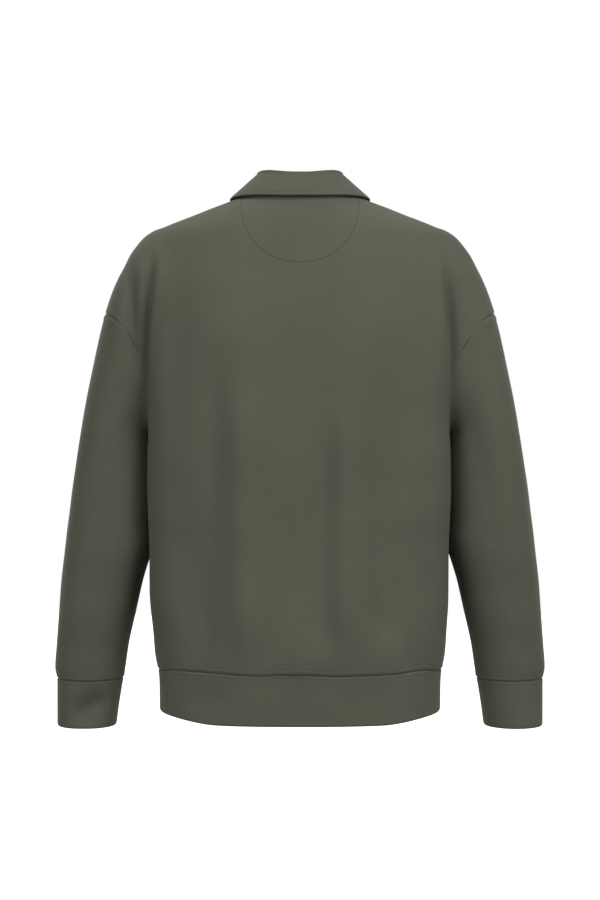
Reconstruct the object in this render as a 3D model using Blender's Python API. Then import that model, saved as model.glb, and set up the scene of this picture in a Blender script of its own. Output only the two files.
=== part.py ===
"""A half zip sweatshirt, filled out as if worn, with nobody in it.

The outside of the garment is one closed form: a trunk and two hanging
sleeves, each given by level sections, run together by a soft union. Every
panel is a grid of points settled on that form between its own seams, and
then given the thickness of the cloth towards the inside.
Metres, +Z up. The front faces -Y and the wearer's left is +X. The origin is
the middle of the neck, level with the high points of the shoulders.
"""

import bpy
import numpy as np

# Cloth and seams
CLOTH = 0.0020
BAND_CLOTH = 0.0028
SEAM_GAP = 0.0003

# Heights of the seams and edges
HEM_SEAM = -0.6165
HEM_EDGE = -0.6825
HEM_LIFT = 0.0070
HEM_LIFT_FROM = 0.1050
CUFF_SEAM = -0.6390
CUFF_EDGE = -0.7030
SIDE_SEAM_Y = -0.010

# Neck seam, in plan
NECK_HALF_WIDTH = 0.0760
NECK_BACK = 0.0680
NECK_FRONT = 0.0950

# Collar, in plan and up from the neck seam
FOLD_HALF_WIDTH = 0.0545
FOLD_BACK = 0.0570
FOLD_FRONT = 0.0830
FOLD_RADIUS = 0.0034
EDGE_HALF_WIDTH = 0.0925
EDGE_BACK = 0.0745
EDGE_FRONT = 0.1110
EDGE_SQUARENESS = 0.8
EDGE_CLEARANCE = 0.0016
FRONT_TURN = 176.3
FOLD_OPENING = 0.0075
POINT_TURN = 156.0

# Half moon inside the back neck
PATCH_SIDE = 0.30
PATCH_TOP = 0.12
PATCH_CLOTH = 0.0012
PATCH_GAP = 0.0008

# Zip
ZIP_BOTTOM = -0.3120
SLIT_HALF_WIDTH = 0.0050
TAPE_INNER = 0.0026
TAPE_OUTER = 0.0140
TAPE_CLOTH = 0.0009
TAPE_GAP = 0.0005
TAPE_TAIL = 0.0120
CHAIN_HALF_WIDTH = 0.0022
CHAIN_DEPTH = 0.0022
SLIDER_HALF_WIDTH = 0.0044
SLIDER_LENGTH = 0.0100
SLIDER_PLATE = 0.0010
SLIDER_CLEARANCE = 0.0004
BAIL_HALF_WIDTH = 0.0009
BAIL_RISE = 0.0031
BAIL_WALL = 0.0010
BAIL_SPAN = 0.0056
BAIL_HOLE = 0.0011
WEDGE_LENGTH = 0.0023
WEDGE_HALF_WIDTH = 0.0019
SLIDER_DROP = 0.0085
PULL_HALF_WIDTH = 0.0031
PULL_LENGTH = 0.0260
PULL_THICKNESS = 0.0012
PULL_WINDOW = 0.0018
PULL_WINDOW_END = 0.0046

TRUNK = (
    ("height", "half_width", "back", "front", "squareness"),
    (0.0200, 0.0400, 0.0500, 0.0400, 2.00),
    (0.0043, 0.0780, 0.0610, 0.0520, 2.00),
    (-0.0042, 0.0950, 0.0680, 0.0600, 2.00),
    (-0.0133, 0.1190, 0.0755, 0.0680, 2.00),
    (-0.0240, 0.1455, 0.0820, 0.0750, 2.05),
    (-0.0347, 0.1730, 0.0880, 0.0810, 2.10),
    (-0.0440, 0.1925, 0.0925, 0.0860, 2.20),
    (-0.0580, 0.2030, 0.0980, 0.0925, 2.35),
    (-0.0800, 0.2030, 0.1065, 0.1000, 2.50),
    (-0.1200, 0.2000, 0.1175, 0.1130, 2.80),
    (-0.1700, 0.1965, 0.1250, 0.1240, 2.90),
    (-0.2500, 0.1945, 0.1280, 0.1300, 2.90),
    (-0.3100, 0.1950, 0.1280, 0.1310, 2.80),
    (-0.3300, 0.1966, 0.1280, 0.1310, 2.75),
    (-0.3500, 0.1972, 0.1275, 0.1305, 2.70),
    (-0.3850, 0.1978, 0.1270, 0.1300, 2.60),
    (-0.4200, 0.1965, 0.1270, 0.1300, 2.60),
    (-0.4500, 0.1953, 0.1270, 0.1300, 2.50),
    (-0.5000, 0.1948, 0.1270, 0.1300, 2.50),
    (-0.5800, 0.1938, 0.1290, 0.1310, 2.45),
    (-0.6050, 0.1910, 0.1280, 0.1300, 2.50),
    (-0.6165, 0.1875, 0.1260, 0.1280, 2.60),
    (-0.6825, 0.1855, 0.1240, 0.1260, 2.70),
)

SLEEVE = (
    ("height", "outside", "inside", "centre_y", "half_depth", "squareness"),
    (-0.0400, 0.1850, 0.1780, 0.0000, 0.0060, 2.00),
    (-0.0480, 0.1990, 0.1680, 0.0000, 0.0280, 2.00),
    (-0.0560, 0.2095, 0.1580, 0.0000, 0.0400, 2.00),
    (-0.0667, 0.2200, 0.1500, 0.0000, 0.0500, 2.00),
    (-0.0960, 0.2370, 0.1420, 0.0000, 0.0630, 2.10),
    (-0.1280, 0.2512, 0.1420, -0.0020, 0.0680, 2.20),
    (-0.1600, 0.2612, 0.1470, -0.0040, 0.0700, 2.20),
    (-0.2240, 0.2763, 0.1620, -0.0080, 0.0700, 2.20),
    (-0.2880, 0.2893, 0.1930, -0.0100, 0.0680, 2.20),
    (-0.3100, 0.2930, 0.2005, -0.0100, 0.0670, 2.20),
    (-0.3300, 0.2966, 0.1999, -0.0110, 0.0660, 2.20),
    (-0.3520, 0.3003, 0.1997, -0.0120, 0.0650, 2.20),
    (-0.3850, 0.3055, 0.2000, -0.0130, 0.0630, 2.20),
    (-0.4160, 0.3093, 0.1992, -0.0140, 0.0610, 2.20),
    (-0.4400, 0.3125, 0.1978, -0.0150, 0.0600, 2.20),
    (-0.4500, 0.3137, 0.1974, -0.0155, 0.0595, 2.20),
    (-0.4650, 0.3153, 0.2008, -0.0160, 0.0590, 2.20),
    (-0.5080, 0.3204, 0.2116, -0.0180, 0.0560, 2.10),
    (-0.5512, 0.3234, 0.2212, -0.0190, 0.0540, 2.10),
    (-0.5945, 0.3271, 0.2309, -0.0215, 0.0500, 2.00),
    (-0.6260, 0.3293, 0.2356, -0.0225, 0.0475, 2.00),
    (-0.6390, 0.3265, 0.2378, -0.0230, 0.0455, 2.00),
    (-0.6700, 0.3266, 0.2430, -0.0235, 0.0435, 2.00),
    (-0.7030, 0.3266, 0.2475, -0.0240, 0.0410, 2.00),
)
SLEEVE_TOP = -0.0400

# How widely trunk and sleeve run together
MELT = (
    ("height", "width"),
    (-0.3300, 0.0001),
    (-0.3220, 0.0060),
    (-0.3100, 0.0140),
    (-0.2900, 0.0180),
    (-0.2400, 0.0180),
    (-0.1600, 0.0180),
    (-0.1000, 0.0280),
    (-0.0500, 0.0200),
)

# Armhole seam, by the turn from the outside of the sleeve round to the body
ARMHOLE = (
    ("turn", "back", "front"),
    (0.0, -0.1520, -0.1520),
    (30.0, -0.1545, -0.1550),
    (55.0, -0.1610, -0.1625),
    (72.0, -0.1733, -0.1770),
    (90.0, -0.1987, -0.2030),
    (108.0, -0.2200, -0.2240),
)
VALLEY_TOP = -0.2360

# Rise of the collar's fold over the neck seam, and of its edge over the cloth
COLLAR = (
    ("turn", "fold_rise", "edge_lift", "roll"),
    (0.0, 0.0328, 0.0055, 0.0000),
    (60.0, 0.0312, 0.0015, 0.0000),
    (90.0, 0.0305, 0.0000, 0.0000),
    (135.0, 0.0280, 0.0000, 0.0040),
    (176.3, 0.0250, 0.0000, 0.0060),
)

# The half moon's lower edge, across from the middle
HALF_MOON = (
    ("across", "edge"),
    (0.0000, -0.0947),
    (0.0248, -0.0909),
    (0.0478, -0.0790),
    (0.0670, -0.0552),
    (0.0738, -0.0380),
    (0.0758, -0.0250),
    (0.0762, -0.0100),
)

# Soft troughs (minus) and ridges (plus) down the panels
FOLDS = (
    ("side", "x_top", "top", "x_bottom", "bottom", "half_width", "depth"),
    (1, 0.098, -0.220, 0.118, -0.600, 0.022, -0.0030),
    (1, -0.040, -0.300, -0.038, -0.600, 0.020, -0.0022),
    (1, -0.080, -0.240, -0.076, -0.540, 0.020, 0.0020),
    (1, -0.124, -0.170, -0.132, -0.600, 0.022, -0.0026),
    (1, 0.150, -0.160, 0.158, -0.420, 0.020, 0.0018),
    (-1, 0.112, -0.230, 0.098, -0.600, 0.024, -0.0028),
    (-1, -0.104, -0.250, -0.116, -0.600, 0.022, -0.0026),
    (-1, 0.052, -0.400, 0.046, -0.600, 0.020, 0.0018),
    (-1, -0.150, -0.180, -0.156, -0.430, 0.020, 0.0018),
)

# Grid counts
NECK_COLUMNS = 6
SHOULDER_COLUMNS = 8
ARMHOLE_ROWS = 9
SIDE_ROWS = 11
SLEEVE_ROWS = 20
BAND_ROWS = 2
PATCH_ROWS = 5
STAND_ROWS = 3
FOLD_ROWS = 4
FALL_ROWS = 4
EDGE_STRIP = 0.0060

FABRIC = (0.098, 0.100, 0.076)
METAL = (0.055, 0.056, 0.050)


# ---- sections and fields ---------------------------------------------------
def smooth_curve(place, value):
    """Cubic pieces through the values, none overshooting."""
    step = np.diff(value) / np.diff(place)
    slope = np.gradient(value, place)
    for i in range(1, len(value) - 1):
        most = 3 * min(abs(step[i - 1]), abs(step[i])) * (step[i - 1] * step[i] > 0)
        slope[i] = np.clip(slope[i], -most, most)
    fine = np.linspace(place[0], place[-1], 2001)
    i = np.clip(np.searchsorted(place, fine, side="right") - 1, 0, len(place) - 2)
    width = place[i + 1] - place[i]
    t = (fine - place[i]) / width
    start = (2 * t**3 - 3 * t**2 + 1) * value[i] + (t**3 - 2 * t**2 + t) * width * slope[i]
    end = (3 * t**2 - 2 * t**3) * value[i + 1] + (t**3 - t**2) * width * slope[i + 1]
    return fine, start + end


# Curves that have been worked out already, by table and column
CURVES = {}


def along(table, name, at):
    """A table's column as a smooth curve of its first column."""
    key = (table[0], name)
    if key not in CURVES:
        rows = np.array(table[1:], float)
        rows = rows[np.argsort(rows[:, 0])]
        CURVES[key] = smooth_curve(rows[:, 0], rows[:, table[0].index(name)])
    return np.interp(at, *CURVES[key])


def oval(dx, dy, half_width, half_depth, squareness):
    """Nearly the distance out of a squared oval."""
    share = np.abs(dx / half_width) ** squareness + np.abs(dy / half_depth) ** squareness
    share = np.maximum(share ** (1 / squareness), 1e-9)
    return np.hypot(dx, dy) * (1 - 1 / share)


def trunk(x, y, z):
    depth = np.where(y >= 0, along(TRUNK, "back", z), along(TRUNK, "front", z))
    return oval(x, y, along(TRUNK, "half_width", z), depth, along(TRUNK, "squareness", z))


def sleeve_axis(z):
    middle = (along(SLEEVE, "outside", z) + along(SLEEVE, "inside", z)) / 2
    return middle, along(SLEEVE, "centre_y", z)


def sleeve(x, y, z):
    middle_x, middle_y = sleeve_axis(z)
    half = along(SLEEVE, "outside", z) - middle_x
    out = oval(
        np.abs(x) - middle_x, y - middle_y, half, along(SLEEVE, "half_depth", z),
        along(SLEEVE, "squareness", z),
    )
    return np.where(z > SLEEVE_TOP, 1.0, out)


def garment(x, y, z):
    a = trunk(x, y, z)
    b = sleeve(x, y, z)
    width = along(MELT, "width", z)
    mix = np.clip(0.5 + 0.5 * (b - a) / width, 0, 1)
    return b * (1 - mix) + a * mix - width * mix * (1 - mix)


def gradient(field, points, step=2e-4):
    slopes = []
    for axis in range(3):
        move = np.zeros(3)
        move[axis] = step
        ahead = field(*np.moveaxis(points + move, -1, 0))
        behind = field(*np.moveaxis(points - move, -1, 0))
        slopes.append((ahead - behind) / (2 * step))
    return np.stack(slopes, axis=-1)


def unit(vectors):
    return vectors / np.maximum(np.linalg.norm(vectors, axis=-1, keepdims=True), 1e-12)


def normals_on(field, points):
    return unit(gradient(field, points))


def settle(field, points, level=0.0, rounds=14):
    """Moves points along the slope of the field until they lie on it."""
    points = np.array(points, float)
    for _ in range(rounds):
        slope = gradient(field, points)
        off = field(*np.moveaxis(points, -1, 0)) - level
        size = np.maximum((slope**2).sum(-1), 0.05)
        move = -(off / size)[..., None] * slope
        far = np.maximum(np.linalg.norm(move, axis=-1, keepdims=True), 1e-12)
        points = points + move * np.minimum(1.0, 0.02 / far)
    return points


def cast(field, start_x, start_y, turn, z, level=0.0, far=0.4):
    """Where level rays from inside a field first leave it. Turn 0 is +X."""
    start_x, start_y, turn, z = np.broadcast_arrays(
        *[np.asarray(v, float) for v in (start_x, start_y, turn, z)]
    )
    dx = np.cos(turn)
    dy = np.sin(turn)
    near = np.zeros(turn.shape)
    beyond = np.full(turn.shape, far)
    found = np.zeros(turn.shape, bool)
    for reach in np.linspace(0, far, 61)[1:]:
        out = (field(start_x + dx * reach, start_y + dy * reach, z) > level) & ~found
        beyond = np.where(out, reach, beyond)
        near = np.where(found | out, near, reach)
        found |= out
    for _ in range(26):
        middle = (near + beyond) / 2
        out = field(start_x + dx * middle, start_y + dy * middle, z) > level
        beyond = np.where(out, middle, beyond)
        near = np.where(out, near, middle)
    return np.stack([start_x + dx * near, start_y + dy * near, z], axis=-1)


def shares(line):
    """How far along a line each of its points is, from 0 to 1."""
    reach = np.concatenate([[0], np.cumsum(np.linalg.norm(np.diff(line, axis=0), axis=1))])
    return reach / reach[-1]


def respace(line, places):
    """Points at these shares of a line's length."""
    at = shares(line)
    return np.stack([np.interp(places, at, line[:, i]) for i in range(3)], axis=-1)


def length(line):
    return np.linalg.norm(np.diff(line, axis=0), axis=1).sum()


# ---- seam lines ------------------------------------------------------------
def underarm_height():
    """The height at which the gap beside the trunk is bridged."""
    low, high = -0.3300, -0.2800
    for _ in range(40):
        z = (low + high) / 2
        gap = along(SLEEVE, "inside", z) - along(TRUNK, "half_width", z)
        if gap / 2 > along(MELT, "width", z) / 4:
            low = z
        else:
            high = z
    return (low + high) / 2


def valley(z, way):
    """The line between trunk and sleeve at each height. Way +1 is the back."""
    middle_x, middle_y = sleeve_axis(z)
    level = along(MELT, "width", z) / 4
    low = np.full(z.shape, np.radians(60.0))
    high = np.full(z.shape, np.radians(180.0))
    for _ in range(30):
        turn = (low + high) / 2
        point = cast(sleeve, middle_x, middle_y, way * turn, z, level)
        outside = trunk(point[..., 0], point[..., 1], z) > level
        low = np.where(outside, turn, low)
        high = np.where(outside, high, turn)
    return cast(sleeve, middle_x, middle_y, way * low, z, level)


def armhole(way, places):
    """The armhole seam from the shoulder down to the underarm, on +X."""
    turns = np.linspace(0, 108.0, 60)
    z = along(ARMHOLE, "back" if way > 0 else "front", turns)
    middle_x, middle_y = sleeve_axis(z)
    upper = cast(garment, middle_x, middle_y, way * np.radians(turns), z)
    bottom = underarm_height()
    rise = np.linspace(1, 0.02, 50) ** 2
    lower = valley(bottom + (VALLEY_TOP - bottom) * rise, way)
    end = along(TRUNK, "half_width", bottom) + along(MELT, "width", bottom) / 4
    last = np.array([[float(end), float(along(SLEEVE, "centre_y", bottom)), bottom]])
    line = respace(np.concatenate([upper, lower, last]), np.linspace(0, 1, 161))
    for _ in range(40):
        line[1:-1] = (line[:-2] + 2 * line[1:-1] + line[2:]) / 4
    line[1:-1] = settle(garment, line[1:-1])
    return respace(line, places)


def neck_plan(turn, half_width, back, front):
    """A point of an oval round the neck. Turn 0 is the middle of the back."""
    depth = np.where(np.cos(turn) >= 0, back, front)
    return np.stack([half_width * np.sin(turn), depth * np.cos(turn)], axis=-1)


def edge_plan(turn):
    """The line under the collar's lower edge, squarer round the front."""
    bend = np.where(np.cos(turn) >= 0, 1.0, EDGE_SQUARENESS)
    depth = np.where(np.cos(turn) >= 0, EDGE_BACK, -EDGE_FRONT)
    across = EDGE_HALF_WIDTH * np.abs(np.sin(turn)) ** bend
    return np.stack([across, depth * np.abs(np.cos(turn)) ** bend], axis=-1)


def drop_on(field, plan):
    """Stands plan points on the top of a field."""
    low = np.full(plan.shape[:-1], -0.25)
    high = np.full(plan.shape[:-1], 0.03)
    for _ in range(40):
        z = (low + high) / 2
        out = field(plan[..., 0], plan[..., 1], z) > 0
        high = np.where(out, z, high)
        low = np.where(out, low, z)
    return np.concatenate([plan, ((low + high) / 2)[..., None]], axis=-1)


def neck_seam(turn):
    return drop_on(trunk, neck_plan(turn, NECK_HALF_WIDTH, NECK_BACK, NECK_FRONT))


def neck_turns(way):
    """The turns of a panel's columns, from its middle to the shoulder seam."""
    start = 0.0 if way > 0 else np.pi - np.arcsin(SLIT_HALF_WIDTH / NECK_HALF_WIDTH)
    turn = np.linspace(start, np.pi / 2, 200)
    return np.interp(np.linspace(0, 1, NECK_COLUMNS + 1), shares(neck_seam(turn)), turn)


def shoulder_seam(tip):
    """From the neck to the top of the armhole, along the ridge."""
    start = neck_seam(np.array([np.pi / 2]))[0]
    share = np.linspace(0, 1, 120)
    z = start[2] + (tip[2] - start[2]) * share
    line = cast(garment, 0.05, start[1] + (tip[1] - start[1]) * share, 0.0, z)
    line[0] = start
    line[-1] = tip
    return line


# ---- panels ----------------------------------------------------------------
def with_strip(last, count):
    """Shares of a line in even steps, but for one short step of its own at the end."""
    return np.append((1 - last) * np.linspace(0, 1, count), 1.0)


def half_panel(way, middle):
    """Half a body panel, from x = middle out to the side.

    The points are a grid between four lines on the form: the neck and the
    shoulder seam, the armhole and the side seam, the hem seam, and the middle.
    The second result is the row at which the zip's slit ends.
    """
    arm_line = armhole(way, np.linspace(0, 1, ARMHOLE_ROWS + 1))
    start = arm_line[-1]
    z = np.linspace(start[2], HEM_SEAM, 100)
    side_line = cast(trunk, 0.0, SIDE_SEAM_Y, 0.0, z)
    side_line = settle(garment, side_line)
    side_line[0] = start
    places = 1 - with_strip(EDGE_STRIP / length(side_line), SIDE_ROWS)[::-1]
    side = np.concatenate([arm_line[:-1], respace(side_line, places)])
    down = shares(side)
    neck = neck_seam(neck_turns(way))
    shoulder = shoulder_seam(arm_line[0])
    places = with_strip(EDGE_STRIP / length(shoulder), SHOULDER_COLUMNS)
    top = np.concatenate([neck[:-1], respace(shoulder, places)])
    across = shares(top)
    ring_turn = np.linspace(np.pi / 2 * way, 0.0, 100)
    ring = cast(trunk, 0.0, SIDE_SEAM_Y, ring_turn, HEM_SEAM)
    if middle > 0:
        ring = ring[ring[:, 0] > middle]
        ring = np.concatenate([[[middle, ring[0, 1], HEM_SEAM]], ring])
    bottom = respace(ring, across)
    bottom[-1] = side[-1]
    z = np.linspace(top[0, 2], HEM_SEAM, 200)
    centre = cast(trunk, middle, 0.0, np.pi / 2 * way, z)
    centre[0] = top[0]
    slit_row = 0
    if middle > 0:
        share = np.interp(-ZIP_BOTTOM, -centre[:, 2], shares(centre))
        slit_row = int(np.argmin(np.abs(down - share)))
        placed = np.interp(down, [0, down[slit_row], 1], [0, share, 1])
        centre = respace(centre, placed)
    else:
        centre = respace(centre, down)
    bottom[0] = centre[-1]
    s = across[None, :, None]
    t = down[:, None, None]
    grid = (1 - t) * top[None] + t * bottom[None] + (1 - s) * centre[:, None] + s * side[:, None]
    grid = grid - (1 - s) * (1 - t) * top[0] - s * (1 - t) * top[-1]
    grid = grid - (1 - s) * t * bottom[0] - s * t * bottom[-1]
    grid[1:-1, 1:-1] = settle(garment, grid[1:-1, 1:-1])
    return grid, slit_row


def cells(rows, columns, ring=False):
    """Quads over a grid of points numbered row by row."""
    faces = []
    for i in range(rows - 1):
        for j in range(columns if ring else columns - 1):
            a = i * columns + j
            b = i * columns + (j + 1) % columns
            faces.append((a, b, b + columns, a + columns))
    return faces


def folds_on(points, normals, way):
    """Moves panel points in or out for the troughs and ridges."""
    x, z = points[:, 0], points[:, 2]
    move = np.zeros(len(points))
    for side, x_top, top, x_bottom, bottom, half_width, depth in FOLDS[1:]:
        if side != way:
            continue
        share = (z - top) / (bottom - top)
        middle = x_top + (x_bottom - x_top) * share
        over = np.exp(-(((x - middle) / half_width) ** 2))
        ends = np.clip(share / 0.25, 0, 1) * np.clip((1 - share) / 0.10, 0, 1)
        move += depth * over * ends * ends * (3 - 2 * ends)
    return points + normals * move[:, None]


def body_panel(way):
    """Points, faces and outward normals of the back (+1) or front (-1)."""
    middle = 0.0 if way > 0 else SLIT_HALF_WIDTH
    half, slit_row = half_panel(way, middle)
    rows, columns = half.shape[:2]
    mirror = half[:, ::-1] * np.array([-1.0, 1.0, 1.0])
    if middle > 0:
        grid = np.concatenate([mirror, half], axis=1)
    else:
        grid = np.concatenate([mirror[:, :-1], half], axis=1)
    points = grid.reshape(-1, 3)
    width = grid.shape[1]
    faces = cells(rows, width)
    if middle > 0:
        slit = {i * width + columns - 1 for i in range(slit_row)}
        faces = [face for face in faces if face[0] not in slit]
    normals = normals_on(garment, points)
    return folds_on(points, normals, way), faces, normals


def sleeve_panel():
    """The sleeve on +X, as rings from the armhole down to the cuff."""
    back = armhole(1, np.linspace(0, 1, ARMHOLE_ROWS + 1))
    front = armhole(-1, np.linspace(0, 1, ARMHOLE_ROWS + 1))
    loop = np.concatenate([back, front[-2:0:-1]])
    count = len(loop)
    axis_x, axis_y = sleeve_axis(loop[:, 2])
    loop_turn = np.arctan2(loop[:, 1] - axis_y, loop[:, 0] - axis_x)
    loop_turn = np.where(loop_turn < 0, loop_turn + 2 * np.pi, loop_turn)
    loop_turn[0] = 0.0
    axis_x, axis_y = sleeve_axis(CUFF_SEAM)
    ring = cast(sleeve, axis_x, axis_y, np.linspace(0, 2 * np.pi, 181), CUFF_SEAM)
    ring = respace(ring, np.linspace(0, 1, count + 1)[:-1])
    ring_turn = np.arctan2(ring[:, 1] - axis_y, ring[:, 0] - axis_x)
    ring_turn = np.where(ring_turn < -1e-9, ring_turn + 2 * np.pi, ring_turn)
    ring_turn[0] = 0.0
    share = 1 - with_strip(EDGE_STRIP / 0.40, SLEEVE_ROWS)[::-1][:, None]
    turn = loop_turn + (ring_turn - loop_turn) * share * share * (3 - 2 * share)
    z = loop[:, 2] + (CUFF_SEAM - loop[:, 2]) * share
    axis_x, axis_y = sleeve_axis(z)
    grid = cast(sleeve, axis_x, axis_y, turn, z)
    grid[1:-1] = settle(garment, grid[1:-1])
    grid[0] = loop
    points = grid.reshape(-1, 3)
    return points, cells(len(share), count, ring=True), normals_on(garment, points), grid


# ---- walls -----------------------------------------------------------------
def rim_edges(faces):
    """Edges with one face only, each as it runs round that face."""
    seen = {}
    for face in faces:
        for a, b in zip(face, face[1:] + face[:1]):
            seen[(a, b)] = True
    return [edge for edge in seen if (edge[1], edge[0]) not in seen]


def draw_in(points, normals, faces, gap):
    """Moves the rim inwards along the cloth, half a seam gap."""
    into = {}
    for a, b in rim_edges(faces):
        run = unit(points[b] - points[a])
        for i in (a, b):
            side = unit(np.cross(normals[i], run))
            into.setdefault(i, []).append(side)
    moved = points.copy()
    for i, sides in into.items():
        if len(sides) == 2:
            both = sides[0] + sides[1]
            size = max(1 + float(np.dot(sides[0], sides[1])), 0.35)
            moved[i] = points[i] + both / size * gap
    return moved


def add_object(name, points, faces, colour, smooth=True, metallic=0.0, roughness=0.9):
    mesh = bpy.data.meshes.new(name)
    mesh.from_pydata([tuple(map(float, p)) for p in points], [], faces)
    mesh.validate()
    mesh.update()
    for polygon in mesh.polygons:
        polygon.use_smooth = smooth
    item = bpy.data.objects.new(name, mesh)
    bpy.context.scene.collection.objects.link(item)
    material = bpy.data.materials.new(name)
    material.use_nodes = True
    shader = material.node_tree.nodes["Principled BSDF"]
    shader.inputs["Base Color"].default_value = (*colour, 1.0)
    shader.inputs["Roughness"].default_value = roughness
    shader.inputs["Metallic"].default_value = metallic
    mesh.materials.append(material)
    return item


def shell(name, outer, inner, faces, colour=FABRIC):
    """A closed wall between two faces of the cloth. Faces turn outwards."""
    used = sorted({i for face in faces for i in face})
    count = len(used)
    number = {old: new for new, old in enumerate(used)}
    points = np.concatenate([outer[used], inner[used]])
    front = [tuple(number[i] for i in face) for face in faces]
    back = [tuple(i + count for i in face[::-1]) for face in front]
    sides = [(b, a, a + count, b + count) for a, b in rim_edges(front)]
    return add_object(name, points, front + back + sides, colour)


def faced_out(points, faces, normals):
    """The same faces, turned to look the way the normals do."""
    corners = np.array(faces)
    a, b, c = (points[corners[:, i]] for i in range(3))
    looks = (np.cross(b - a, c - a) * normals[corners[:, 0]]).sum()
    return faces if looks > 0 else [face[::-1] for face in faces]


def split(points, faces, normals, way=1):
    """Cuts each quad on the corner line that bulges outwards, or inwards."""
    pieces = []
    for face in faces:
        if len(face) == 3:
            pieces.append(face)
            continue
        a, b, c, d = face
        rise = points[a] + points[c] - points[b] - points[d]
        if np.dot(rise, normals[a] + normals[c]) * way > 0:
            pieces += [(a, b, c), (a, c, d)]
        else:
            pieces += [(b, c, d), (b, d, a)]
    return pieces


def cloth(name, points, faces, normals, thickness):
    faces = faced_out(points, faces, normals)
    faces = split(points, faces, normals)
    points = draw_in(points, normals, faces, SEAM_GAP / 2)
    return shell(name, points, points - normals * thickness, faces)


def mirrored(points, faces, normals):
    flip = np.array([-1.0, 1.0, 1.0])
    return points * flip, [face[::-1] for face in faces], normals * flip


# ---- the collar ------------------------------------------------------------
def collar_grid():
    """Rows from the neck seam up the stand, over the fold and down the fall.

    This is the cloth's face on the neck side of the stand, which is the
    outside of the fall. The second result points to its other face.
    """
    half = np.concatenate([neck_turns(1)[:-1], neck_turns(-1)[::-1]])
    turn = np.concatenate([-half[:0:-1], half])
    size = np.abs(turn)
    degrees = np.degrees(size)
    side = np.sign(turn)
    base = neck_seam(size)
    normal = normals_on(garment, base)
    ahead = neck_seam(size + 0.01) - neck_seam(size - 0.01)
    into = unit(np.cross(ahead, normal))
    into = np.where((into[:, 2] < 0)[:, None], -into, into)
    fold = neck_plan(size, FOLD_HALF_WIDTH, FOLD_BACK, FOLD_FRONT)
    fold[:, 0] = np.where(degrees > 90, np.maximum(fold[:, 0], FOLD_OPENING), fold[:, 0])
    rise = along(COLLAR, "fold_rise", degrees)
    top = np.concatenate([fold, (base[:, 2] + rise - FOLD_RADIUS)[:, None]], axis=1)
    past_side = np.clip((degrees - 90) / (FRONT_TURN - 90), 0, 1)
    spread = size * (1 - (1 - POINT_TURN / FRONT_TURN) * past_side)
    edge = drop_on(garment, edge_plan(spread))
    edge = edge + normals_on(garment, edge) * (CLOTH + EDGE_CLEARANCE)
    edge[:, 2] += along(COLLAR, "edge_lift", degrees)
    out = edge - top
    out[:, 2] = 0
    out = unit(out)
    up = np.array([0.0, 0.0, 1.0])
    start = base - normal * CLOTH + into * SEAM_GAP
    inner = top - out * FOLD_RADIUS
    rows = []
    for i in range(STAND_ROWS):
        rows.append(start + (inner - start) * i / STAND_ROWS)
    for i in range(FOLD_ROWS):
        angle = np.pi * (1 - i / FOLD_ROWS)
        rows.append(top + FOLD_RADIUS * (out * np.cos(angle) + up * np.sin(angle)))
    outer = top + out * FOLD_RADIUS
    roll = along(COLLAR, "roll", degrees)[:, None]
    for i in range(FALL_ROWS + 1):
        share = i / FALL_ROWS
        point = outer + (edge - outer) * share
        rows.append(point + (out + up) * roll * 4 * share * (1 - share) * 0.7)
    grid = np.stack(rows)
    fall = slice(STAND_ROWS + FOLD_ROWS, None)
    need = CLOTH + EDGE_CLEARANCE
    for _ in range(4):
        slope = gradient(garment, grid[fall])
        steepness = np.maximum(np.linalg.norm(slope, axis=-1), 0.2)
        away = garment(*np.moveaxis(grid[fall], -1, 0)) / steepness
        grid[fall] += unit(slope) * np.maximum(need - away, 0)[..., None]
    grid[..., 0] *= side
    normal = normal * np.stack([side + (side == 0), 1 + 0 * side, 1 + 0 * side], axis=-1)
    down = np.gradient(grid, axis=0)
    round_neck = np.gradient(grid, axis=1)
    other = unit(np.cross(down, round_neck))
    other = other * np.sign((other[0] * normal).sum(-1))[None, :, None]
    other[0] = normal
    return grid, other


def build_collar():
    """The wall of the collar, from the seam to its free edge."""
    grid, other = collar_grid()
    rows, columns = grid.shape[:2]
    outer = grid.reshape(-1, 3)
    inner = outer + other.reshape(-1, 3) * CLOTH
    faces = faced_out(outer, cells(rows, columns), -other.reshape(-1, 3))
    return shell("collar", outer, inner, faces)


# ---- bands, patch and zip --------------------------------------------------
def hem_edge(x):
    """The hem's height, which rises a little towards the side seams."""
    share = np.clip((np.abs(x) - HEM_LIFT_FROM) / (0.185 - HEM_LIFT_FROM), 0, 1)
    return HEM_EDGE + HEM_LIFT * share * share * (3 - 2 * share)


def build_band(name, field, centre, top, bottom, ring, thickness, flip=False):
    """A ring of cloth from its seam down to its own edge."""
    count = len(ring)
    share = np.linspace(0, 1, BAND_ROWS + 1)[:, None]
    turn = np.arctan2(ring[:, 1] - centre[1], ring[:, 0] - centre[0])[None]
    grid = cast(field, centre[0], centre[1], turn + 0 * share, top + (bottom - top) * share)
    points = grid.reshape(-1, 3)
    faces = cells(len(share), count, ring=True)
    normals = normals_on(field, points)
    normals[:, 2] = 0
    normals = unit(normals)
    if flip:
        points, faces, normals = mirrored(points, faces, normals)
    cloth(name, points, faces, normals, thickness)


def between(grid, row, column):
    """A grid's surface at rows and columns between its own."""
    i = np.clip(row.astype(int), 0, len(grid) - 2)
    j = np.clip(column.astype(int), 0, grid.shape[1] - 2)
    u = (row - i)[..., None]
    v = (column - j)[..., None]
    upper = grid[i, j] * (1 - v) + grid[i, j + 1] * v
    lower = grid[i + 1, j] * (1 - v) + grid[i + 1, j + 1] * v
    return upper * (1 - u) + lower * u


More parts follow.
